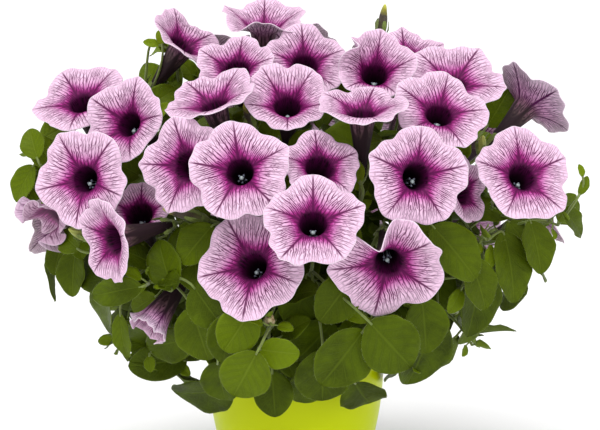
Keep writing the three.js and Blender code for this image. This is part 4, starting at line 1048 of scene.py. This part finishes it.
class PETUNIA_OT_pot(bpy.types.Operator):
    """Builds the pot: a turned shell with a rolled rim and drain holes through its base"""

    bl_idname = "petunia.pot"
    bl_label = "Pot"

    def execute(self, context):
        surface = Surface()
        surface.lay(turned(pot_profile(), 144), start=np.zeros(3), end=UP * POT["floor"])
        pot = surface.build("pot_body", [pot_finish(context.scene.petunia_pot)], "pot", ["pot"])
        cutter = Surface()
        for angle in np.arange(DRAIN["count"]) * 2 * math.pi / DRAIN["count"]:
            middle = DRAIN["circle"] * np.array([math.sin(angle), -math.cos(angle), 0])
            cutter.lay(tube(middle + np.outer([-2, 5], UP), DRAIN["radius"], 24))
        tool = cutter.build("drain_holes", [], "pot")
        cut = pot.modifiers.new("Drain holes", "BOOLEAN")
        cut.object, cut.operation, cut.solver = tool, "DIFFERENCE", "EXACT"
        context.view_layer.objects.active = pot
        bpy.ops.object.modifier_apply(modifier=cut.name)
        bpy.data.objects.remove(tool)
        return {"FINISHED"}


class PETUNIA_OT_soil(bpy.types.Operator):
    """Builds the potting soil: a crumbly top over a root ball that fills the pot, with loose grains"""

    bl_idname = "petunia.soil"
    bl_label = "Soil"

    def execute(self, context):
        settings = context.scene.petunia_pot
        inside = POT["wall"] + SOIL["inset"]
        low, high, edge = POT["floor"] + GAP, SOIL["top"], pot_radius(SOIL["top"]) - inside
        wall = [(pot_radius(z) - inside, z) for z in np.linspace(low, high, 8)]
        top = [(edge * share, high + SOIL["crown"] * (1 - share)) for share in np.linspace(0.985, 0.02, 40)]
        grid = turned(wall + top, 120)
        crumbly = grid[len(wall):]
        crumbly[..., 2] += settings.crumb / MM * (wobble(crumbly, 9, 1) + 0.6 * wobble(crumbly, 4, 2)) * 0.5
        surface = Surface()
        surface.lay(grid, start=UP * low, end=UP * (high + SOIL["crown"]))
        for n in range(GRAINS["count"]):
            radius, angle = edge * math.sqrt(draw(n + 700)) * 0.96, 2 * math.pi * draw(n + 900)
            height = high + SOIL["crown"] * (1 - radius / edge) + 0.4
            spot = np.array([radius * math.sin(angle), -radius * math.cos(angle), height])
            axis = unit(np.array([draw(n + 1100) - 0.5, draw(n + 1300) - 0.5, 0.3]))
            size = GRAINS["size"] + GRAINS["spread"] * draw(n + 1500)
            pale = n % GRAINS["pale_every"] == 0
            surface.lay(bead(spot, axis, size * GRAINS["long"], size / 2, 4, 6), tone=0.9 if pale else 0.1)
        surface.build("potting_soil", [soil_finish(settings)], "soil", ["soil"])
        return {"FINISHED"}


# ---- Blooms ----
def limb_grid(bloom, number, angle, s, settings):
    """The front of a limb: angle around its face, and s from the mouth to the rim.

    A point lies out from the mouth by the lobe's radius times s, leaned in by the cup and the folds. On
    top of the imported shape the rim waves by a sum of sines, rolls back as s to the fourth, and dips a
    little along the main veins and between the lobes.
    """
    lobe = angle - bloom["roll"]
    notch, vein = np.sin(2.5 * lobe), np.cos(2.5 * lobe)
    wilted, closing = number == WILTED, number == CLOSING
    n = number * 31

    def waves(rows):
        return sum(size * np.sin(count * angle + 6 * draw(n + shift)) for count, size, shift in rows)

    point = draw(n + 40 + np.round(lobe / math.radians(LOBE)) % 5)
    rim = 1 - NOTCH * np.abs(notch) ** 12 - SCALLOP * notch**2 + (POINT + POINT_SPREAD * point**4) * vein**30
    rim = bloom["radius"] * (rim + waves(UNEVEN)) * (1 + waves(FRILL))
    lean = np.full_like(angle, bloom["cup"])
    for k, fold in enumerate(bloom["folds"]):
        away = lobe - math.radians(LOBE * k)
        aside = np.arctan2(np.sin(away), np.cos(away))
        lean = lean + np.where(np.abs(aside) < math.radians(LOBE / 2), fold * np.cos(2.5 * aside) ** 2, 0)
    run = (rim - TRUMPET["mouth"]) * s
    ruffle = sum(weight * np.sin(count * angle + 2 * math.pi * draw(n + count)) for count, weight in RUFFLES)
    ruffle = settings.ruffle / MM * (ruffle + 0.45 * np.cos(5 * lobe)) * s**2.2
    if wilted:
        ruffle = ruffle * WILTED_RUFFLE
    if closing:
        ruffle = ruffle * CLOSING_RUFFLE + CLOSING_PLEAT * s * np.cos(10 * lobe)
    roll_back = 0 if closing else settings.recurve / MM * s**4
    dip = 0.5 * np.exp(-((notch / 0.1) ** 2)) + 0.8 * np.exp(-((vein / 0.16) ** 2))
    out = TRUMPET["mouth"] + run * np.cos(lean) - ruffle * np.sin(lean) * 0.8
    ahead = TRUMPET["flare"] * (1 - np.exp(-TRUMPET["flare_rate"] * s)) + run * np.sin(lean)
    ahead = ahead + ruffle * np.cos(lean) - roll_back - dip * s * (1.15 - s)
    points = bloom["at"] + round_way(bloom, angle) * out[..., None] + bloom["w"] * ahead[..., None]
    if wilted:
        push, sag = wobble(points, 16, 5) * 2.4 * s, wobble(points, 23, 9) * 2 * s
        points = points + bloom["w"] * push[..., None] + bloom["v"] * sag[..., None]
    return points


def tube_grid(bloom, angle, t):
    """The tube behind the mouth: t from its foot to the mouth, its radius widening as t to the power 1.4."""
    radius = TRUMPET["foot"] + (TRUMPET["mouth"] - TRUMPET["foot"]) * t**1.4
    radius = radius * (1 + 0.05 * np.cos(5 * (angle - bloom["roll"])) * np.sin(math.pi * t))
    ahead = (t - 1) * TRUMPET["length"]
    return bloom["at"] + round_way(bloom, angle) * radius[..., None] + bloom["w"] * ahead[..., None]


def grid_normals(grid):
    """Unit normals of a grid whose columns close round: the cross product of its two slopes."""
    across = np.roll(grid, -1, 1) - np.roll(grid, 1, 1)
    return unit(np.cross(np.gradient(grid, axis=0), across))


def lay_pistil(surface, bloom):
    """The style, low in the tube, with its stigma, and five stamens round it."""
    at, v, w = bloom["at"], bloom["v"], bloom["w"]
    foot, low = at - w * TRUMPET["length"], at - v * PISTIL["drop"]
    bend = at - w * PISTIL["bend"] - v * PISTIL["sag"]
    style = along_path(np.stack([foot + w * 2, bend, low - w * PISTIL["end"]]), np.linspace(0, 1, 9))
    surface.rod(style, PISTIL["radius"], 6, PISTIL_SKIN, 0.6)
    stigma = bead(low - w * PISTIL["stigma"], w, PISTIL["stigma_length"], PISTIL["stigma_radius"], 6, 10)
    surface.lay(stigma, finish=PISTIL_SKIN, tone=0.95)
    for k in range(5):
        way = round_way(bloom, math.radians(LOBE * (k + 0.5)) + bloom["roll"])
        top = low - w * (STAMEN["depth"] + STAMEN["step"] * (k % 2)) + way * STAMEN["spread"]
        surface.rod(np.linspace(foot + w * 6 + way, top, 5), STAMEN["radius"], 5, PISTIL_SKIN, 0.4)
        anther = bead(top, unit(way + w * 0.6), STAMEN["anther_length"], STAMEN["anther_radius"], 5, 7)
        surface.lay(anther, finish=PISTIL_SKIN, tone=0.05)


def lay_bloom(surface, bloom, number, settings):
    """One trumpet: its front, up the tube and over the limb, and its back, a petal's thickness behind."""
    columns = 120
    turn = bloom["roll"] + np.arange(columns) * 2 * math.pi / columns
    t, s = np.linspace(0.02, 0.97, 9), np.linspace(0, 1, 21) ** 0.9
    front = np.concatenate([tube_grid(bloom, *np.meshgrid(turn, t)),
                            limb_grid(bloom, number, *np.meshgrid(turn, s), settings)])
    normals = grid_normals(front)
    if normals[-1].mean(0) @ bloom["w"] < 0:
        normals = -normals
    back = front - normals * settings.thickness / MM
    along = np.concatenate([t - 1, s])
    places = grid_places(np.arange(columns + 1) / columns, np.concatenate([along, along[::-1]]))
    finish = np.repeat([PETAL_FACE, PETAL_BACK], [len(along), len(along) - 1])[:, None]
    foot = bloom["at"] - bloom["w"] * TRUMPET["length"]
    surface.lay(np.concatenate([front, back[::-1]]), places, foot + bloom["w"] * 1.2, foot + bloom["w"] * 0.4,
                finish, draw(number + 77))
    if number != CLOSING:
        lay_pistil(surface, bloom)


class PETUNIA_OT_blooms(bpy.types.Operator):
    """Builds each bloom: a trumpet of five joined petals with its style and stamens"""

    bl_idname = "petunia.blooms"
    bl_label = "Blooms"

    def execute(self, context):
        settings = context.scene.petunia_blooms
        fresh = [petal_finish("Petal face", settings), petal_finish("Petal back", settings, back=True)]
        faded = [petal_finish("Faded petal face", settings, faded=True),
                 petal_finish("Faded petal back", settings, back=True, faded=True)]
        pistil = pistil_finish()
        for number, bloom in enumerate(PLANT["blooms"], 1):
            surface = Surface()
            lay_bloom(surface, bloom, number, settings)
            finishes = faded if number == WILTED else fresh
            surface.build(f"flower_{number:02d}", [*finishes, pistil], "petals", [f"bloom_{number:02d}"])
        return {"FINISHED"}


# ---- Stems, stalks, calyxes and buds ----
def outline(v):
    """A leaf's half width along it, as a share: a sine that is drawn a little towards the base."""
    return np.sin(math.pi * np.clip(v, 0, 1) ** 0.9) ** 0.6


def sepal_outline(v):
    """A sepal's half width: a strap that widens to a spoon before its tip."""
    return (0.55 + 0.6 * v) * np.sqrt(np.clip(1 - np.clip((v - 0.6) / 0.4, 0, 1) ** 2.2, 0, 1))


def lay_blade(surface, leaf, rows, columns, shape, settings, finish=(0, 1), tone=0.0, hairs=None):
    """A blade with an upper and an under side, as a flattened tube along its midrib.

    Its height is an arch along it, less a keel along the midrib, plus a wave that grows to the edges and
    a quilting between the side veins.
    """
    seed = leaf["seed"] * 7
    v = 0.5 - 0.5 * np.cos(math.pi * np.linspace(0.1, 0.94, rows))
    v = (v - v[0]) / (v[-1] - v[0]) * (0.975 - 0.015) + 0.015
    u = np.linspace(-1, 1, columns)
    vv, uu = np.meshgrid(v, u, indexing="ij")
    length, width = leaf["length"], leaf["width"]
    size = min(1.0, length / 40)
    arch = BLADE["arch"] * length * (1 - (2 * vv - 1) ** 2)
    keel = BLADE["keel"] * width * np.sin(math.pi * vv) ** 0.8 * (1 - np.abs(uu) ** 1.3)
    phases = np.where(uu < 0, draw(seed), draw(seed + 1)) * 2 * math.pi
    wave = np.abs(uu) ** 2.5 * np.sin(2 * math.pi * 2.3 * vv + phases) * np.sin(math.pi * vv)
    veins = SIDE_VEINS["pairs"] * vv - SIDE_VEINS["lean"] * np.abs(uu) ** SIDE_VEINS["power"]
    quilt = np.cos(2 * math.pi * veins) * (1 - uu**2) * 0.6
    curl = (draw(seed + 2) - 0.55) * 0.16 * length * np.clip(vv - 0.5, 0, 1) ** 2
    height = arch - keel + size / MM * (settings.wave * wave + settings.quilt * quilt) + curl
    top = (leaf["base"] + vv[..., None] * length * leaf["way"] + height[..., None] * leaf["normal"]
           + (uu * width / 2 * shape(vv))[..., None] * leaf["side"])
    thick = settings.thickness / MM * (1 - 0.6 * uu**2)[..., None] * size**0.5
    ring = np.concatenate([top, (top - thick * leaf["normal"])[:, ::-1]], 1)
    places = grid_places(np.concatenate([0.5 + u / 2, 0.5 - u / 2, [0.0]]), v)
    surface.lay(ring, places, leaf["base"], leaf["base"] + leaf["way"] * length, np.repeat(finish, columns),
                tone)
    if hairs is not None:
        lay_margin_hairs(hairs, leaf, top, settings)


def lay_margin_hairs(hairs, leaf, top, settings):
    """Fine hairs that stand out from both edges of a blade."""
    count = int(leaf["length"] * 1.3)
    n = np.arange(count) + leaf["seed"] * 131
    reach = settings.hair / MM * 0.75 * (0.5 + 0.7 * draw(n + 9000))[:, None]
    for side, edge in ((-1, top[:, 0]), (1, top[:, -1])):
        roots = along_path(edge, np.linspace(0.05, 0.98, count))
        way = unit(side * leaf["side"] + (draw(n) - 0.4)[:, None] * leaf["way"]
                   + (draw(n + 5000) - 0.35)[:, None] * leaf["normal"])
        hairs.spikes(roots, roots + way * reach, HAIR_RADIUS)


def lay_stem_hairs(hairs, path, radius, spacing, settings, seed):
    """Fine hairs all round a stalk: places by a spiral along its path, standing out with a drawn lean."""
    length = np.linalg.norm(np.diff(path, axis=0), axis=1).sum()
    count = max(6, int(length / spacing))
    centre = along_path(path, (np.arange(count) + 0.5) / count)
    along = unit(np.gradient(centre, axis=0))
    side = unit(np.cross(along, np.eye(3)[np.abs(along).max(0).argmin()]))
    angle = np.arange(count) * math.radians(TURN)
    n = np.arange(count) + seed * 977
    way = round_way({"v": side, "e": np.cross(side, along)}, angle)
    roots = centre + way * radius * 0.9
    lean = unit(way + along * (draw(n) - 0.5)[:, None])
    reach = settings.hair / MM * (0.5 + 0.8 * draw(n + 3000))[:, None]
    hairs.spikes(roots, roots + lean * reach, HAIR_RADIUS)


def lay_calyx(surface, hairs, flower, settings, seed):
    """A small cup and five spoon-shaped sepals round a flower's foot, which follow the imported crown."""
    w, base, radii = flower["w"], flower["base"], np.array(CUP["radii"])
    if flower["bud"]:
        radii = radii * min(1.0, flower["radius"] / 3.2)
    surface.rod(base + np.outer(CUP["heights"], w), radii, 10, tone=0.35)
    scale = 0.55 + 0.45 * min(1.0, flower.get("length", 40) / 28)
    for k in range(5):
        way = round_way(flower, math.radians(LOBE * (k + 0.5)) + flower["roll"])
        foot = base + way * radii[-1] * 0.75 + w * 0.2
        rise = CALYX["tip_height"] + SEPAL["longer"] + SEPAL["spread"] * draw(seed + k)
        tip = base + way * (CALYX["tip_radius"] + SEPAL["splay"] * draw(seed + k + 9)) + w * rise
        if flower["bud"]:
            tip = base + way * (radii[-1] + 0.9) + w * min(rise * scale, 0.6 * flower["length"])
        along = unit(tip - foot)
        side = unit(np.cross(along, way))
        sepal = {"base": foot, "way": along, "side": side, "normal": np.cross(side, along), "seed": seed + k,
                 "length": np.linalg.norm(tip - foot), "width": SEPAL["width"] * scale}
        lay_blade(surface, sepal, 7, 5, sepal_outline, settings, (STEM_SKIN, STEM_SKIN), 0.5)
        path = np.linspace(foot, tip, 6) + sepal["normal"] * 0.5
        lay_stem_hairs(hairs, path, 0.9, 0.45, settings, seed + k)


def lay_bud(surface, hairs, bud, settings, seed):
    """A furled bud: an egg with a blunt tip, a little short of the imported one, with five spiral folds."""
    young = bud["length"] < BUD["young"]
    length = bud["length"] * (BUD["shorter"] if bud["length"] > BUD["young"] else 1)
    sides, t = 30, np.linspace(0.02, 0.985, 16)
    tt, aa = np.meshgrid(t, np.arange(sides) * 2 * math.pi / sides, indexing="ij")
    radius = bud["radius"] * np.sin(math.pi * tt**0.62) ** 0.5
    radius = radius * (1 + (0.09 + 0.12 * tt**4) * np.cos(BUD["folds"] * (aa - BUD["twist"] * tt)))
    grid = bud["base"] + round_way(bud, aa) * radius[..., None] + bud["w"] * (tt * length)[..., None]
    skin = PAPERY_SKIN if bud["number"] == WITHERED_BUD else BUD_SKIN
    surface.lay(grid, grid_places(np.linspace(0, 1, sides + 1), t), bud["base"],
                bud["base"] + bud["w"] * length, skin, 0.85 if young else 0.0)
    path = bud["base"] + np.outer(np.linspace(0.1, 0.9, 8) * length, bud["w"])
    lay_stem_hairs(hairs, path, bud["radius"] * 0.9, 0.3, settings, seed)


def petiole_path(leaf):
    """A leaf's stalk: from its root it curves into the way of the blade."""
    root, base = leaf["root"], leaf["base"]
    span = np.linalg.norm(base - root)
    ends = np.array([root, root + (base - root) * 0.35 + leaf["normal"] * 0.04 * span,
                     base - leaf["way"] * 0.28 * span, base + leaf["way"] * 0.06 * leaf["length"]])
    return bezier(ends, np.linspace(0, 1, 9))


def main_path(lean, ends):
    """A leafy stem's path: straight in the soil, and then along its curve."""
    return np.concatenate([[stem_foot(*lean)], bezier(ends, np.linspace(0, 1, 22))])


def clear_of_blooms(points, blooms):
    """Whether points stay out of each bloom's tube, and behind its limb."""
    length = TRUMPET["length"]
    for bloom in blooms:
        away = points - bloom["at"]
        ahead = away @ bloom["w"]
        out = np.linalg.norm(away - ahead[:, None] * bloom["w"], axis=1)
        limb = (out - TRUMPET["mouth"]) * math.tan(min(bloom["cup"], 1.0)) - CLEAR["behind"]
        before = (out < bloom["radius"] + CLEAR["beside"]) & (ahead > limb) & (ahead < CLEAR["before"])
        if (before | (out < CLEAR["tube"]) & (np.abs(ahead + length / 2) < length / 2)).any():
            return False
    return True


def small_leaf(spot, along, k, length, seed):
    """A small leaf beside a stalk: it leaves at the spiral's angle and turns its face out and up."""
    side = unit(np.cross(along, UP + np.array([0.01, 0.02, 0.0])))
    angle = math.radians(TURN) * k
    aside = side * math.cos(angle) + np.cross(side, along) * math.sin(angle)
    way = unit(along * 0.45 + aside * 0.9 + UP * 0.05)
    face = unit(spot - HEART) * 0.8 + UP * 0.7
    normal = unit(face - way * (face @ way))
    base = spot + aside * (2 + 0.15 * length) + way * 0.1 * length
    return {"base": base, "root": spot, "way": way, "normal": normal, "side": np.cross(way, normal),
            "length": length, "width": length * (0.62 + 0.14 * draw(seed)), "seed": seed}


def fits(leaf, blooms):
    """Whether a small leaf stays above the pot, inside the mound and clear of the blooms."""
    marks = leaf["base"] + np.outer([0.0, 0.35, 0.7, 1.0], leaf["way"] * leaf["length"])
    edge = leaf["side"] * leaf["width"] * 0.45
    marks = np.concatenate([marks, marks[1:3] + edge, marks[1:3] - edge])
    low = marks[:, 2].min() < POT["height"] + INNER["above_pot"]
    far = np.linalg.norm((marks - MOUND["centre"]) / MOUND["reach"], axis=1).max() > INNER["furthest"]
    return not low and not far and clear_of_blooms(marks, blooms)


def inner_leaves(stem, number, blooms):
    """Small leaves along a stem, its stalks and its shoots: at each place the first try that fits."""
    paths = [(stalk["ends"], INNER["stalks"]) for stalk in stem["stalks"]]
    paths += [(ends, INNER["shoots"]) for ends in stem["shoots"]] + [(stem["ends"], INNER["stem"])]
    found = []
    for p, (ends, shares) in enumerate(paths):
        for k, share in enumerate(shares):
            spot = bezier(ends, share)
            along = unit(bezier(ends, share + 0.02) - spot)
            seeds = SEEDS["inner"] + number * 400 + p * 30 + k * 5 + np.arange(INNER["tries"])
            tries = (small_leaf(spot, along, k + p + retry * INNER["turn"],
                                INNER["length"] + INNER["spread"] * draw(seed), seed)
                     for retry, seed in enumerate(seeds))
            leaf = next((leaf for leaf in tries if fits(leaf, blooms)), None)
            if leaf:
                found.append(leaf)
    return found


def tip_leaves(ends, seed):
    """A tuft of young leaves at the end of a shoot."""
    spot, before = bezier(ends, 1.0), bezier(ends, 0.96)
    along = unit(spot - before)
    return [small_leaf(spot - along * (TUFT["apart"] * k), unit(along * 1.6 + UP * 0.3), k + 0.3,
                       TUFT["length"] - TUFT["shorter"] * k, seed + k) for k in range(TUFT["leaves"])]


def lay_branches(wood, hairs, stem, k, settings):
    """A stem's own rod, its stalks with their calyxes and buds, and its shoots, with their hairs."""
    path = main_path(LEANS[k], stem["ends"])
    wood.rod(path, np.linspace(STEM["root"], STEM["tip"], len(path)), 12)
    lay_stem_hairs(hairs, path[2:], 1.9, 0.6, settings, k + 1)
    for n, stalk in enumerate(stem["stalks"]):
        seed = SEEDS["stalk"] + k * 200 + n * 12
        path = bezier(stalk["ends"], np.linspace(0, 1, 18))
        wood.rod(path, np.linspace(*STALK_RADII, len(path)), 8, tone=0.15)
        lay_stem_hairs(hairs, path[2:], 1.1, 0.4, settings, seed)
        lay_calyx(wood, hairs, stalk["flower"], settings, seed)
        if stalk["flower"]["bud"]:
            lay_bud(wood, hairs, stalk["flower"], settings, seed + 7)
    for n, ends in enumerate(stem["shoots"]):
        path = bezier(ends, np.linspace(0, 1, 16))
        wood.rod(path, np.linspace(*SHOOT_RADII, len(path)), 8, tone=0.3)
        lay_stem_hairs(hairs, path[2:], 1.2, 0.45, settings, SEEDS["shoot"] + k * 10 + n)


def leaf_tone(kind, leaf):
    """How light and young a leaf looks, 0 to 1: lighter high up on the plant, a painted light that leaves the
    lower leaves darker as if shaded, and by a draw.
    """
    if kind == "tuft":
        return TUFT["tone"]
    if kind == "inner":
        return INNER["tone"] * draw(leaf["seed"] + 3) ** 2
    # Painted light and shade: the higher a leaf's base, the lighter and younger its tone.
    height = np.clip((leaf["base"][2] - 130) / 120, 0, 1)
    return 0.7 * leaf["young"] + 0.22 * (height + draw(leaf["seed"] + 61) ** 2)


def lay_leaves(wood, green, hairs, stem, k, settings):
    """A stem's leaves, its small inner leaves and its tufts, each on its own stalk."""
    tufts = [leaf for n, ends in enumerate(stem["shoots"])
             for leaf in tip_leaves(ends, SEEDS["tuft"] + k * 50 + n * 5)]
    inner = inner_leaves(stem, k, PLANT["blooms"])
    for kind, leaves in (("grown", stem["leaves"]), ("inner", inner), ("tuft", tufts)):
        form = LEAF_KINDS[kind]
        for leaf in leaves:
            lay_blade(green, leaf, *form["grid"], outline, settings, tone=leaf_tone(kind, leaf),
                      hairs=hairs if form["hairy"] else None)
            wood.rod(petiole_path(leaf), np.linspace(*form["stalk"], 9), form["sides"], tone=form["tone"])


class PETUNIA_OT_stems(bpy.types.Operator):
    """Builds each leafy stem: the stem, its shoots, stalks, calyxes and buds, its leaves and its hairs"""

    bl_idname = "petunia.stems"
    bl_label = "Leafy stems"

    def execute(self, context):
        settings = context.scene.petunia_foliage
        papery = plain_finish("Withered petals", 0.8, tint(218, 202, 158), tint(140, 108, 72), 420, 0.5)
        skins = [stem_finish(settings), bud_finish(), papery]
        blades = [leaf_finish("Leaf top", settings), leaf_finish("Leaf underside", settings, under=True)]
        fuzz = [plain_finish("Hairs", 0.5, tint(150, 168, 98), tint(196, 206, 156), 500, 0.05)]
        for k, stem in enumerate(PLANT["stems"]):
            wood, green, hairs = Surface(), Surface(), Surface()
            lay_branches(wood, hairs, stem, k, settings)
            lay_leaves(wood, green, hairs, stem, k, settings)
            for name, surface, finishes in (("stem", wood, skins), ("leaves", green, blades),
                                            ("hairs", hairs, fuzz)):
                surface.build(f"{name}_{k + 1:02d}", finishes, "foliage", [f"leafy_stem_{k + 1:02d}"])
        return {"FINISHED"}


# ---- Stage ----
TARGET = (3, 0, 207)  # what the camera looks at, mm
ELEVATION = 10  # degrees above the horizon
FLOOR_HALF = 14.0  # half of the floor's side, m
# Lights: share of the sun's strength, how many degrees wide, and around and up of where it comes from.
LIGHTS = {"Key light": (1, 40, (-25, 64)), "Fill light": (0.22, 60, (40, 18))}


class PETUNIA_OT_stage(bpy.types.Operator):
    """Builds the stage: a pale floor, a soft sun and an even sky, and the camera in front"""

    bl_idname = "petunia.stage"
    bl_label = "Stage"

    def execute(self, context):
        scene, settings = context.scene, context.scene.petunia_stage
        mesh = bpy.data.meshes.new("floor")
        corners = [(x * FLOOR_HALF, y * FLOOR_HALF, 0) for x, y in ((-1, -1), (1, -1), (1, 1), (-1, 1))]
        mesh.from_pydata(corners, [], [(0, 1, 2, 3)])
        base = tuple(settings.floor_colour)
        mesh.materials.append(plain_finish("Floor", 0.9, base, tuple(c * 0.985 for c in base), 3, 0.1))
        floor = bpy.data.objects.new("floor", mesh)
        scene.collection.objects.link(floor)
        world = bpy.data.worlds.new("Even sky")
        world.use_nodes = True
        sky = world.node_tree.nodes["Background"].inputs
        sky["Color"].default_value = (1.0, 1.0, 1.0, 1.0)
        sky["Strength"].default_value = settings.sky
        scene.world = world
        for name, (share, spread, way) in LIGHTS.items():
            light = bpy.data.lights.new(name, "SUN")
            light.energy, light.angle = settings.sun * share, math.radians(spread)
            lamp = bpy.data.objects.new(name, light)
            lamp.rotation_mode = "QUATERNION"
            lamp.rotation_quaternion = Vector(direction(*way)).to_track_quat("Z", "Y")
            scene.collection.objects.link(lamp)
        camera = bpy.data.cameras.new("Camera")
        camera.lens, camera.sensor_width = settings.lens, 36
        camera.clip_start, camera.clip_end = 0.05, 60
        eye = bpy.data.objects.new("Camera", camera)
        back = Vector(direction(0, ELEVATION))
        eye.location = Vector(TARGET) * MM + back * settings.distance
        eye.rotation_mode = "QUATERNION"
        eye.rotation_quaternion = back.to_track_quat("Z", "Y")
        scene.collection.objects.link(eye)
        scene.camera = eye
        scene.view_settings.view_transform = "Standard"
        return {"FINISHED"}


class PETUNIA_PT_panel(bpy.types.Panel):
    """Lists the pieces of the potted petunia and their settings"""

    bl_idname = "PETUNIA_PT_panel"
    bl_label = "Potted petunia"
    bl_space_type = "VIEW_3D"
    bl_region_type = "UI"
    bl_category = "Petunia"

    def draw(self, context):
        for name, operators in PIECES.items():
            box = self.layout.box()
            for operator in operators:
                box.operator(operator.bl_idname)
            settings = getattr(context.scene, name)
            for field in type(settings).__annotations__:
                box.prop(settings, field)


GROUPS = {"petunia_pot": PotSettings, "petunia_blooms": BloomSettings, "petunia_foliage": FoliageSettings,
          "petunia_stage": StageSettings}
PIECES = {"petunia_pot": (PETUNIA_OT_pot, PETUNIA_OT_soil), "petunia_blooms": (PETUNIA_OT_blooms,),
          "petunia_foliage": (PETUNIA_OT_stems,), "petunia_stage": (PETUNIA_OT_stage,)}
CLASSES = [*GROUPS.values(), *(each for row in PIECES.values() for each in row), PETUNIA_PT_panel]
PLANT = {}


def register():
    for each in CLASSES:
        bpy.utils.register_class(each)
    for name, group in GROUPS.items():
        setattr(bpy.types.Scene, name, bpy.props.PointerProperty(type=group))


def unregister():
    for name in GROUPS:
        delattr(bpy.types.Scene, name)
    for each in reversed(CLASSES):
        bpy.utils.unregister_class(each)


def main():
    register()
    PLANT["blooms"], PLANT["stems"] = read_plant()
    bpy.ops.petunia.pot()
    bpy.ops.petunia.soil()
    bpy.ops.petunia.blooms()
    bpy.ops.petunia.stems()
    bpy.ops.petunia.stage()
    bpy.context.view_layer.update()


if __name__ == "__main__":
    main()
